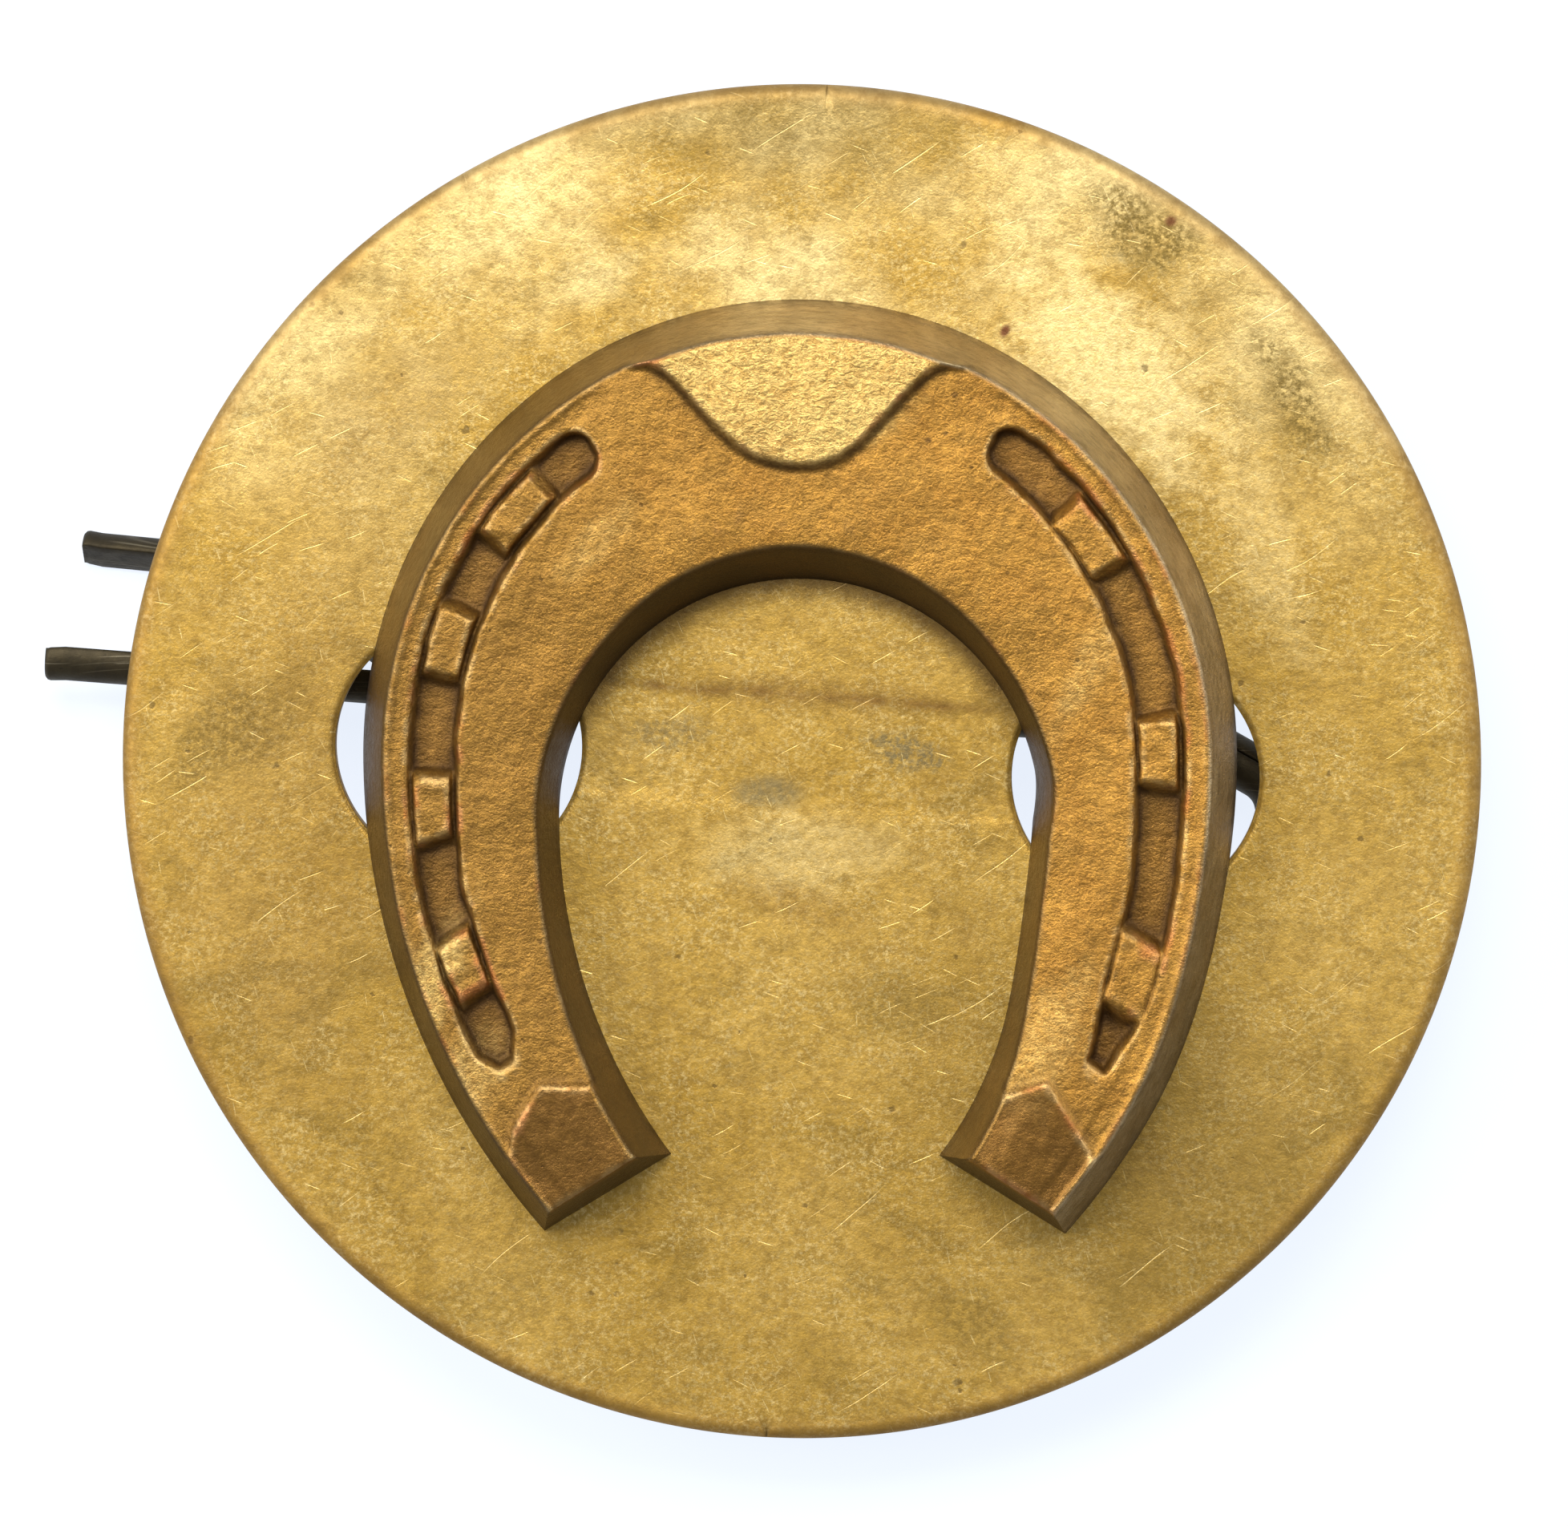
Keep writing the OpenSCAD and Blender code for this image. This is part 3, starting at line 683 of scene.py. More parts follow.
# 0 outside a heel pad and 1 on it: distance to the nearest side of a convex outline
def padMask(x, y, corners, side):
    a, w = np.array(corners).T
    p = across(a * side, w, 0.0)[::side, :2]
    q = np.roll(p, -1, axis=0)
    away = np.full(x.shape, -99.0)
    for (x0, y0), (x1, y1) in zip(p, q):
        run = math.hypot(x1 - x0, y1 - y0)
        away = softMax(away, ((x - x0) * (y1 - y0) - (y - y0) * (x1 - x0)) / run, 0.06)
    area = np.sum(p[:, 0] * q[:, 1] - q[:, 0] * p[:, 1])
    return ease(-away if area > 0 else away, -0.06, 0.3)


# 1 on the floor of a groove and 0 outside: blunt at the toe, tapering at the heel
def grooveMask(run, far, start, end, inner, taper, least):
    low, high = sorted(alongArc(np.array([start, end])))
    nearToe = np.abs(run - (low if start > 0 else high)) < (high - low) / 2
    endGap = np.minimum(run - low, high - run)
    half = (inner - shoe["grooveIn"]) / 2
    blunt = np.sqrt(np.clip(1 - (1 - np.clip(endGap, 0, 1)) ** 2, 0, 1))
    slim = np.minimum(least + (1 - least) * np.clip(endGap / taper, 0, 1), blunt + 0.3)
    shape = np.where(nearToe, blunt, slim)
    middle = shoe["grooveIn"] + half + np.where(nearToe, 0.12 * (1 - shape), 0)
    return ease(np.minimum(half * shape - np.abs(far - middle), endGap), -0.08, 0.3)


# how far up a nail head's sloping sides a place lies, 1 at the top's edge, and its dimple
def nailRise(run, far, toe, heel, w0, w1, turn):
    s0, s1 = alongArc(np.array([toe, heel]))
    halfLong, halfWide = abs(s1 - s0) / 2, (w1 - w0) / 2
    c, t = math.cos(math.radians(turn)), math.sin(math.radians(turn))
    x, y = run - (s0 + s1) / 2, far - (w0 + w1) / 2
    u, v = (x * c + y * t) * (1 if s1 > s0 else -1), y * c - x * t       # u grows towards the heel
    rise = softMin((halfLong + 0.42 + u) / 0.5, (halfLong + 0.5 - u) / 0.55, 0.12)
    dimple = np.exp(-(u / halfLong) ** 2 - (v / halfWide) ** 2)
    return softMin(rise, (halfWide + 0.2 - np.abs(v)) / 0.24, 0.12), dimple


# height of the struck face over angle a and distance w, before the arris is rounded
def faceHeight(a, w):
    s = shoe
    p = across(a, w, 0.0)
    x, y = p[..., 0], p[..., 1]
    run = alongArc(a) + 0.05 * ripple(x, y, 1.5, 2)
    far = w + 0.045 * ripple(x, y, 1.7, 3)
    innerW = branchWidth(a) - innerWallLean(a) * s["webZ"]
    outerW = s["outerLean"] * s["webZ"]
    z = s["webZ"] + 0.04 * ripple(x, y, 3.4, 1) + 0.014 * ripple(x, y, 0.8, 4)
    z -= s["innerFall"] * ease(far, innerW - 1.2, innerW)
    z -= s["dish"] * ease(np.abs(a), 40, 70) * np.clip(far - s["dishFrom"], 0, None)
    lip = s["lip"] * np.exp(-((far - outerW - 0.2) / 0.12) ** 2)
    ledge = s["ledge"] * ease(far, outerW + 0.25, outerW + 0.45) * ease(far, 2.35, 2.0)
    z += ease(np.abs(a), 26, 33) * (lip - ledge)
    floorMask, nailMask, pad = (np.zeros(z.shape) for _ in range(3))
    for groove in s["grooves"]:
        floorMask = np.maximum(floorMask, grooveMask(run, far, *groove))
    z -= s["grooveDepth"] * floorMask
    for i, nail in enumerate(s["nails"]):
        rise, dimple = nailRise(run, far, *nail)
        top = s["nailTop"] + 0.03 * ripple(x, y, 1.1, 40 + i) - s["nailDimple"] * dimple
        head = s["webZ"] - s["grooveDepth"] + top * softMin(rise, 1.0, 0.14)
        z = softMax(z, np.where(rise > -3, head, -9), 0.035)
        nailMask = np.maximum(nailMask, ease(rise, 0.2, 0.7))
    clip = clipMask(x, y) * ease(np.abs(a), 40, 34)
    dome = 1 - 0.12 * ((s["toeY"] - 2.6 - y) / 3.2) ** 2
    z += s["clipRise"] * clip * dome + 0.008 * clip * ripple(x, y, 1.0, 9)
    for side, corners in zip((-1, 1), s["pads"]):
        pad += padMask(x, y, corners, side) * (np.sign(a) == side)
    return z + s["padRise"] * pad, dict(floor=floorMask * (1 - nailMask), clip=clip, pad=pad)


# stations crowd where the relief is steep: nail ends, groove ends, pads and the heels' arris
def shoeStations():
    s = shoe
    keys = [k for piece in s["nails"] + s["grooves"] for k in piece[:2]]
    a = np.linspace(-heelA, heelA, 20001)
    crowd = 1 + 1.1 * sum(np.exp(-((a - k) / 1.6) ** 2) for k in keys) + 0.5 * ease(np.abs(a), 24, 18)
    crowd += 0.9 * ease(np.abs(a), 120.5, 122)
    total = np.concatenate([[0], np.cumsum((crowd[1:] + crowd[:-1]) / 2)])
    even = np.interp(np.linspace(0, total[-1], s["stationCount"]), total, a)[1:-1]
    even = even[np.abs(even) < heelA - 0.7]
    ends = np.array([0.0, 0.05, 0.14, 0.28, 0.5])
    return np.concatenate([-heelA + ends, even, (heelA - ends)[::-1]])


# the angle of a station at a height: the heel walls lean back from the foot
def angleAt(a, z):
    return a * (1 - shoe["heelLean"] / heelA * np.clip(z / shoe["webZ"], 0, 1))


# masks for the metal over the ring of a section: raised edges, corners with dirt and painted shade, walls, the
# painted reflection on the walls, and those of the face
def ringMasks(a, ringZ, faceMasks):
    k, cols = shoe["wallRows"], ringZ.shape[1]
    top, face = slice(k, cols - k), slice(k + shoe["arrisRows"], cols - k - shoe["arrisRows"])
    masks = {name: np.zeros(ringZ.shape) for name in shoeMasks}
    high, wide = (ringZ[:, top] - boxMean(ringZ[:, top], reach) for reach in (3, 8))
    masks["edge"][:, top] = np.clip((high - 0.012) / 0.07, 0, 1)
    # dirt and painted shade in the corners and creases of the top
    masks["cornerDirtAndShade"][:, top] = (np.clip((-high - 0.01) / 0.14, 0, 1) + np.clip(-wide / 0.3, 0, 1)) * 0.42
    # painted shadow below the clip's step
    masks["cornerDirtAndShade"][:, face] += 2.6 * faceMasks["clip"] * (1 - faceMasks["clip"])
    # dirt and painted shade at the foot of both walls
    masks["cornerDirtAndShade"][:, :2] = [0.6, 0.3]
    masks["cornerDirtAndShade"][:, -2:] = [0.3, 0.6]
    for name, values in faceMasks.items():
        masks[name][:, face] = values
    wall = np.concatenate([np.ones(k + 3), [0.7, 0.3]])
    masks["wall"][:, :len(wall)] = wall
    masks["wall"][:, -len(wall):] = wall[::-1]
    # painted reflection: pale grey on the walls from the toe round the right branch, with a weaker stretch low
    # on the right branch
    paintedReflection = ease(a, -40, 5) * (1 - 0.35 * ease(a, 92, 108) * ease(a, 124, 112))
    masks["grey"] = paintedReflection * (np.arange(cols) < len(wall))
    return masks


# hollow back, from the inner foot to the outer foot: steep sides that round into a flat roof
def hollowBack(a):
    s = shoe
    endA = heelA - 2 * s["heelLean"]
    depth = s["hollowZ"] * ease(np.abs(a), endA + 0.6, endA - 0.6)
    inward = s["hollowZ"] * (1 - np.array([[1.0, 0.62, 0.3, 0.08, 0.0]]))
    outerSide = np.repeat(s["wallT"] + s["outerLean"] * inward, len(a), 0)
    innerSide = branchWidth(a) - s["wallT"] - innerWallLean(a) * inward
    sideZ = depth * (1 - np.array([[1.0, 0.62, 0.28, 0.05, 0.0]]))
    t = np.array([[0.25, 0.5, 0.75]])
    middle = innerSide[:, -1:] * (1 - t) + outerSide[:, -1:] * t
    w = np.concatenate([innerSide, middle, outerSide[:, ::-1]], 1)
    return across(a, w, np.concatenate([sideZ, depth.repeat(3, 1), sideZ[:, ::-1]], 1))


# cross-section at each station: outer wall, rounded arris, face, rounded arris, inner wall, and the hollow back
def makeShoe():
    s = shoe
    r, k = s["arris"], s["wallRows"]
    a = shoeStations()[:, None]
    b = angleAt(a, s["webZ"])                                # the station's angle on the face
    width, lean = branchWidth(b), innerWallLean(b)
    heelRound = roundOff((heelA - np.abs(a)) * s["mmPerDegree"], r)
    outTop = faceHeight(b, s["outerLean"] * s["webZ"] + 0.1)[0] - heelRound
    inTop = faceHeight(b, width - lean * s["webZ"] - 0.1)[0] - heelRound
    outLow, inLow = outTop - r, inTop - r * s["innerArris"]
    wOut, wIn = s["outerLean"] * outTop, width - lean * inTop
    faceFrom, faceTo = wOut + r, wIn - r * s["innerArris"]
    middle = np.minimum(s["denseTo"], faceTo - 0.3)
    dense = faceFrom + (middle - faceFrom) * np.linspace(0, 1, s["denseColumns"])[None]
    plain = middle + (faceTo - middle) * np.linspace(0, 1, s["plainColumns"] + 1)[None, 1:]
    faceW = np.concatenate([dense, plain], 1)
    faceZ, faceMasks = faceHeight(b, faceW)
    faceZ = np.minimum(faceZ - heelRound, s["topZ"] - s["clear"])
    # arris: a curve from below the corner on the wall to the face
    t = np.linspace(0, 1, s["arrisRows"] + 1)[None]
    outW = bentLine(t[:, :-1], s["outerLean"] * outLow, wOut, faceFrom)
    outZ = bentLine(t[:, :-1], outLow, np.minimum(outTop, s["topZ"] - s["clear"]), faceZ[:, :1])
    inW = bentLine(t[:, 1:], faceTo, wIn, width - lean * inLow)
    inZ = bentLine(t[:, 1:], faceZ[:, -1:], inTop, inLow)
    rows = np.linspace(0, 1, k + 1)[None, :-1]
    wallOutZ, wallInZ = rows * outLow, rows[:, ::-1] * inLow
    wobble = 0.03 * ripple(alongArc(b), 0, 3.0, 21)
    wallOutW = s["outerLean"] * wallOutZ + wobble * np.sin(np.pi * rows)
    wallInW = branchWidth(angleAt(a, wallInZ)) - lean * wallInZ
    ringA = np.concatenate([angleAt(a, wallOutZ), angleAt(a, outZ), np.broadcast_to(b, faceW.shape),
                            angleAt(a, inZ), angleAt(a, wallInZ)], 1)
    ringW = np.concatenate([wallOutW, outW, faceW, inW, wallInW], 1)
    ringZ = np.concatenate([wallOutZ, outZ, faceZ, inZ, wallInZ], 1)
    n, cols = ringZ.shape
    table = np.concatenate([across(ringA, ringW, ringZ), hollowBack(a)], 1)
    points = table.reshape(-1, 3)
    numbers = np.arange(len(points)).reshape(n, -1)
    around = np.concatenate([numbers, numbers[:, :1]], 1)
    # the last strip under each heel is left for one flat face
    faces = gridQuads(numbers[:, :cols]).tolist() + gridQuads(around[1:-1, cols - 1:]).tolist()
    onBack, onHeel = dict(cornerDirtAndShade=0.3, wall=1.0), dict(cornerDirtAndShade=0.1, wall=1.0)
    masks = {}
    for name, values in ringMasks(a, ringZ, faceMasks).items():
        behind = np.full((n, numbers.shape[1] - cols), onBack.get(name, 0.0))
        masks[name] = np.concatenate([values, behind], 1).reshape(-1)
    # heel walls: each row joins the same height on the outer and the inner wall
    for end, near in ((0, 1), (n - 1, n - 2)):
        topW, topZ = ringW[end, k:cols - k], ringZ[end, k:cols - k]
        share = ((topW - topW[0]) / (topW[-1] - topW[0]))[None, 1:-1]
        wo, wi = ringW[end, :k, None], ringW[end, ::-1][:k, None]
        z = rows[0][:, None] * topZ[None, 1:-1]
        patch = across(angleAt(a[end, 0], z), wo + (wi - wo) * share, z)
        inner = len(points) + np.arange(share.size * k).reshape(k, -1)
        points = np.concatenate([points, patch.reshape(-1, 3)])
        grid = np.concatenate([numbers[end, :k, None], inner, numbers[end, :cols][::-1][:k, None]], 1)
        grid = np.concatenate([grid, numbers[end, None, k:cols - k]])
        faces += gridQuads(grid if end == 0 else grid[:, ::-1]).tolist()
        flat = np.concatenate([grid[0], around[near, cols - 1:]]).tolist()
        faces.append(flat if end == 0 else flat[::-1])
        for name in masks:
            masks[name] = np.concatenate([masks[name], np.full(inner.size, onHeel.get(name, 0.0))])
    makePiece("horseshoe_shell", points, faces, shoeBrass, "badge", "horseshoe", masks)


makeShoe()


plateLow, plateHigh = boxInMm("backing_plate")
plate = dict(
    radius=min(plateHigh[1], -plateLow[1]) - 0.003, thickness=-plateLow[2], roll=0.6, slack=0.014,
    holeR=5.2, holeHalfPitch=14.235, holeLip=0.12, shift=(-0.12, 0.155), turn=-2.57, sag=0.03, bandDip=0.035,
    archPoints=230, middlePoints=110, radialRows=46, backRows=14, wearRim=0.8,
    # steps of the rows close to a hole, and close to the rim or the middle line
    nearSteps=[0, 0.04, 0.1, 0.18, 0.3, 0.5], farSteps=[1.0, 0.8, 0.64, 0.5, 0.38, 0.27, 0.18, 0.1, 0.04, 0.0],
)


# slow unevenness of hand-flattened sheet, and the band pressed in across the middle
def plateWave(x, y):
    s = plate
    tilted = y + plateFinish["bandTilt"] * x
    band = ease(tilted, -1.9, -1.5) * ease(tilted + 0.12 * ripple(x, 0, 6.0, 8), 3.2, 2.85)
    band = band * ease(np.abs(x), 9.6, 8.6)
    return s["sag"] * (ripple(x, y, 17.0, 6) - 1) * 0.5 - s["bandDip"] * band


# front face: the wave, a rolled-over rim and slightly drawn-in hole edges
def plateFront(x, y, fromHole):
    s = plate
    gap = np.clip(s["radius"] - np.hypot(x, y), 0, None)
    slack = s["slack"] * ease(gap, 3.4, 0.6) * ease(gap, 0, 0.5)
    lip = s["holeLip"] * (1 - ease(fromHole, 0.0, 0.26)) ** 1.5
    return plateWave(x, y) * ease(gap, 0, 1.0) - roundOff(gap, s["roll"]) - slack - lip


# half of the plate: straight lines from a hole's edge to its half of the rim and the line between the holes
def plateHalf(side, shift, ux, uy):
    s = plate
    hole = shift + side * s["holeHalfPitch"] * ux
    root = math.sqrt(s["radius"] ** 2 - (shift @ ux) ** 2)     # where the middle line meets the rim
    topY, lowY = root - shift @ uy, -root - shift @ uy
    line = shift + uy * (topY + (lowY - topY) * np.linspace(0, 1, s["middlePoints"], endpoint=False)[:, None])
    a0, a1 = (math.atan2(*(shift + uy * end)[::-1]) for end in (lowY, topY))
    swept = (a1 - a0) % (2 * math.pi) if side > 0 else -((a0 - a1) % (2 * math.pi))
    a = a0 + swept * np.linspace(0, 1, s["archPoints"], endpoint=False)
    border = np.concatenate([line, s["radius"] * np.stack([np.cos(a), np.sin(a)], -1)])
    onRim = np.arange(len(border)) >= len(line)
    onRim[0] = True                                            # the corner at the top
    ray = border - hole
    length = np.linalg.norm(ray, axis=1)[:, None]
    ray = ray / length
    run = length - s["holeR"]
    facing = np.where(onRim[:, None], border / s["radius"], -side * ux[None])
    slope = np.clip(np.abs(np.einsum("ij,ij->i", ray, facing)), 0.6, 1)[:, None]
    near = np.array([s["nearSteps"]]).repeat(len(run), 0)
    far = run - np.array([s["farSteps"]]) / slope
    even = np.linspace(0, 1, s["radialRows"])[None, 1:-1]
    along = np.concatenate([near, near[:, -1:] + (far[:, :1] - near[:, -1:]) * even, far], 1)
    xy = (hole + ray * s["holeR"])[:, None] + ray[:, None] * along[..., None]
    front = np.concatenate([xy, plateFront(xy[..., 0], xy[..., 1], along)[..., None]], -1)
    xy = xy[:, np.unique(np.linspace(0, along.shape[1] - 1, s["backRows"]).astype(int))]
    gap = s["radius"] - np.hypot(xy[..., 0], xy[..., 1])
    backZ = np.maximum(plateWave(xy[..., 0], xy[..., 1]) * ease(gap, 0, 2), 0) - s["thickness"]
    back = np.concatenate([xy, backZ[..., None]], -1)
    # hole wall between front and back
    t = np.array([0.2, 0.45, 0.7, 0.9])[None, :, None]
    table = np.concatenate([front[:, ::-1], front[:, :1] * (1 - t) + back[:, :1] * t, back], 1)
    mask = ease(s["radius"] - np.hypot(table[..., 0], table[..., 1]), 1.1, 0.1) * s["wearRim"]
    mask[:, front.shape[1]:front.shape[1] + t.size] = s["wearRim"]
    return table, mask, np.append(np.arange(len(line), len(border)), 0)


# two mirrored halves, joined along the line between the holes, and the wall of the rim
def makePlate():
    s = plate
    turn = math.radians(s["turn"])
    ux, uy = np.array([math.cos(turn), math.sin(turn)]), np.array([-math.sin(turn), math.cos(turn)])
    points, faces, masks, rims = np.zeros((0, 3)), [], [], []
    for side in (1, -1):
        table, mask, rim = plateHalf(side, np.array(s["shift"]), ux, uy)
        numbers = len(points) + np.arange(mask.size).reshape(mask.shape)
        quads = gridQuads(np.concatenate([numbers, numbers[:1]]))
        faces.append(quads if side > 0 else quads[:, ::-1])
        points = np.concatenate([points, table.reshape(-1, 3)])
        masks.append(mask.reshape(-1))
        rims.append(numbers[rim][::side])
    # rim between the rolled front edge and the back, once round
    top, low = (np.concatenate([rim[:, column] for rim in rims]) for column in (0, -1))
    rings = [top]
    for step in (0.35, 0.7):
        rings.append(len(points) + np.arange(len(top)))
        points = np.concatenate([points, points[top] * (1 - step) + points[low] * step])
        masks.append(np.full(len(top), s["wearRim"]))
    faces.append(gridQuads(np.stack(rings + [low], 1))[:, ::-1])
    # points that the halves share become one
    _, first, back = np.unique(np.round(points, 4), axis=0, return_index=True, return_inverse=True)
    faces = [list(dict.fromkeys(f)) for f in back.reshape(-1)[np.concatenate(faces)].tolist()]
    makePiece("plate_disc", points[first], [f for f in faces if len(f) > 2], plateBrass, "plate",
              "backing_plate", {"rim": np.concatenate(masks)[first]})


makePlate()


leftBox, rightBox = boxInMm("left_loop"), boxInMm("right_loop")
leftAt, rightAt = (leftBox[0] + leftBox[1]) / 2, (rightBox[0] + rightBox[1]) / 2
pinTurn = math.degrees(math.atan2(rightAt[1] - leftAt[1], rightAt[0] - leftAt[0]))
loops = dict(wireR=0.6, midR=2.05, topZ=shoe["hollowZ"], bottomZ=leftBox[0][2], brazeW=0.9, sides=28,
             legRows=26)


def turned(points, at, degrees):
    c, t = math.cos(math.radians(degrees)), math.sin(math.radians(degrees))
    x, y = points[..., 0], points[..., 1]
    return np.stack([at[0] + x * c - y * t, at[1] + x * t + y * c, points[..., 2]], -1)


# closed tube: the section's points are carried along the path, and flat faces close the ends
def sweep(centres, across1, across2, section, sizes):
    offsets = across1[:, None] * section[None, :, :1] + across2[:, None] * section[None, :, 1:]
    rings = centres[:, None] + offsets * sizes[:, None, None]
    numbers = np.arange(rings[..., 0].size).reshape(rings.shape[:2])
    faces = gridQuads(np.concatenate([numbers, numbers[:, :1]], 1)).tolist()
    return rings, faces + [numbers[0].tolist(), numbers[-1, ::-1].tolist()]


# staple: down one leg, round half a circle, and up the other leg
def makeLoop(name, at, node):
    s = loops
    lowZ = s["bottomZ"] + s["midR"] + s["wireR"]
    legs, one = np.linspace(s["topZ"], lowZ, s["legRows"]), np.ones(s["legRows"])
    a = np.linspace(0, np.pi, 30)[1:-1]
    y = s["midR"] * np.concatenate([-one, -np.cos(a), one])
    z = np.concatenate([legs, lowZ - s["midR"] * np.sin(a), legs[::-1]])
    centres = np.stack([0 * y, y, z], -1)
    tangent = np.gradient(centres, axis=0)
    tangent /= np.linalg.norm(tangent, axis=1)[:, None]
    side = np.tile([1.0, 0, 0], (len(y), 1))
    b = np.linspace(0, 2 * np.pi, s["sides"], endpoint=False)
    run = np.arange(len(y)) * 0.25
    sizes = s["wireR"] * (0.985 + 0.012 * np.sin(run * 1.3) * np.sin(run * 0.7 + 1))     # hand-drawn wire
    rings, faces = sweep(centres, side, np.cross(tangent, side), np.stack([np.cos(b), np.sin(b)], -1), sizes)
    makePiece(name, turned(rings, at, pinTurn).reshape(-1, 3), faces, loopWire, "badge", node)


# braze collar: a hollow cove turned round each foot, its reach uneven as it ran
def makeBraze(name, at, node, seed):
    s = loops
    b = np.linspace(0, np.pi / 2, 9)
    around = np.linspace(0, 2 * np.pi, 48, endpoint=False)[:, None]
    points, faces = [], []
    for i, side in enumerate((-1, 1)):
        uneven = 0.1 * np.sin(2 * around + seed + i) + 0.04 * np.sin(5 * around + 2 * seed + i)
        reach = s["brazeW"] * (0.86 + uneven)
        coveR = s["wireR"] * 0.97 + reach * (1 - np.sin(b))[None]
        coveZ = s["topZ"] - reach * (1 - np.cos(b))[None]
        radius = np.concatenate([np.full_like(around, s["wireR"] * 0.9), coveR], 1)
        radius[:, -1] = s["wireR"] * 0.9
        z = np.concatenate([np.full_like(around, s["topZ"]), coveZ], 1)
        ring = np.stack([radius * np.cos(around), side * s["midR"] + radius * np.sin(around), z], -1)
        numbers = np.arange(z.size).reshape(z.shape) + i * z.size
        numbers = np.concatenate([numbers, numbers[:1]], 0)
        faces += gridQuads(np.concatenate([numbers, numbers[:, :1]], 1)).tolist()
        points.append(ring.reshape(-1, 3))
    makePiece(name, turned(np.concatenate(points), at, pinTurn), faces, brazeMetal, "badge", node)


makeLoop("left_staple", leftAt, "left_loop")
makeLoop("right_staple", rightAt, "right_loop")
makeBraze("left_braze", leftAt, "left_loop_solder", 0.4)
makeBraze("right_braze", rightAt, "right_loop_solder", 2.1)


pin = dict(
    wireR=1.05, eyeR=1.3, roll=28, neckTurn=27, neckLength=6.1, lowerReach=18.094, upperReach=16.894,
    spread=3.9, backward=1.2, spreadStart=1.6, spreadLength=8.0, openA=35, neckBendR=1.75, bendR=4.0, gap=0.02,
    bendBefore=0.3, clearance=0.05, freeRows=60, straightRows=58, bendRows=14, neckRows=12, eyeRows=72,
    # section: a flat side on the parting, a round back, and small radii between them
    corner=[[0.09, -0.985], [0.03, -0.965], [0.0, -0.92]], flat=[-0.45, 0.0, 0.45],
    # size of the last rings of each cut end, how far they stand in from the tip, and how far they are bent out
    tipSizes=[0.86, 0.94, 0.985], tipSteps=[0.0, 0.1, 0.22], tipNip=0.45,
)


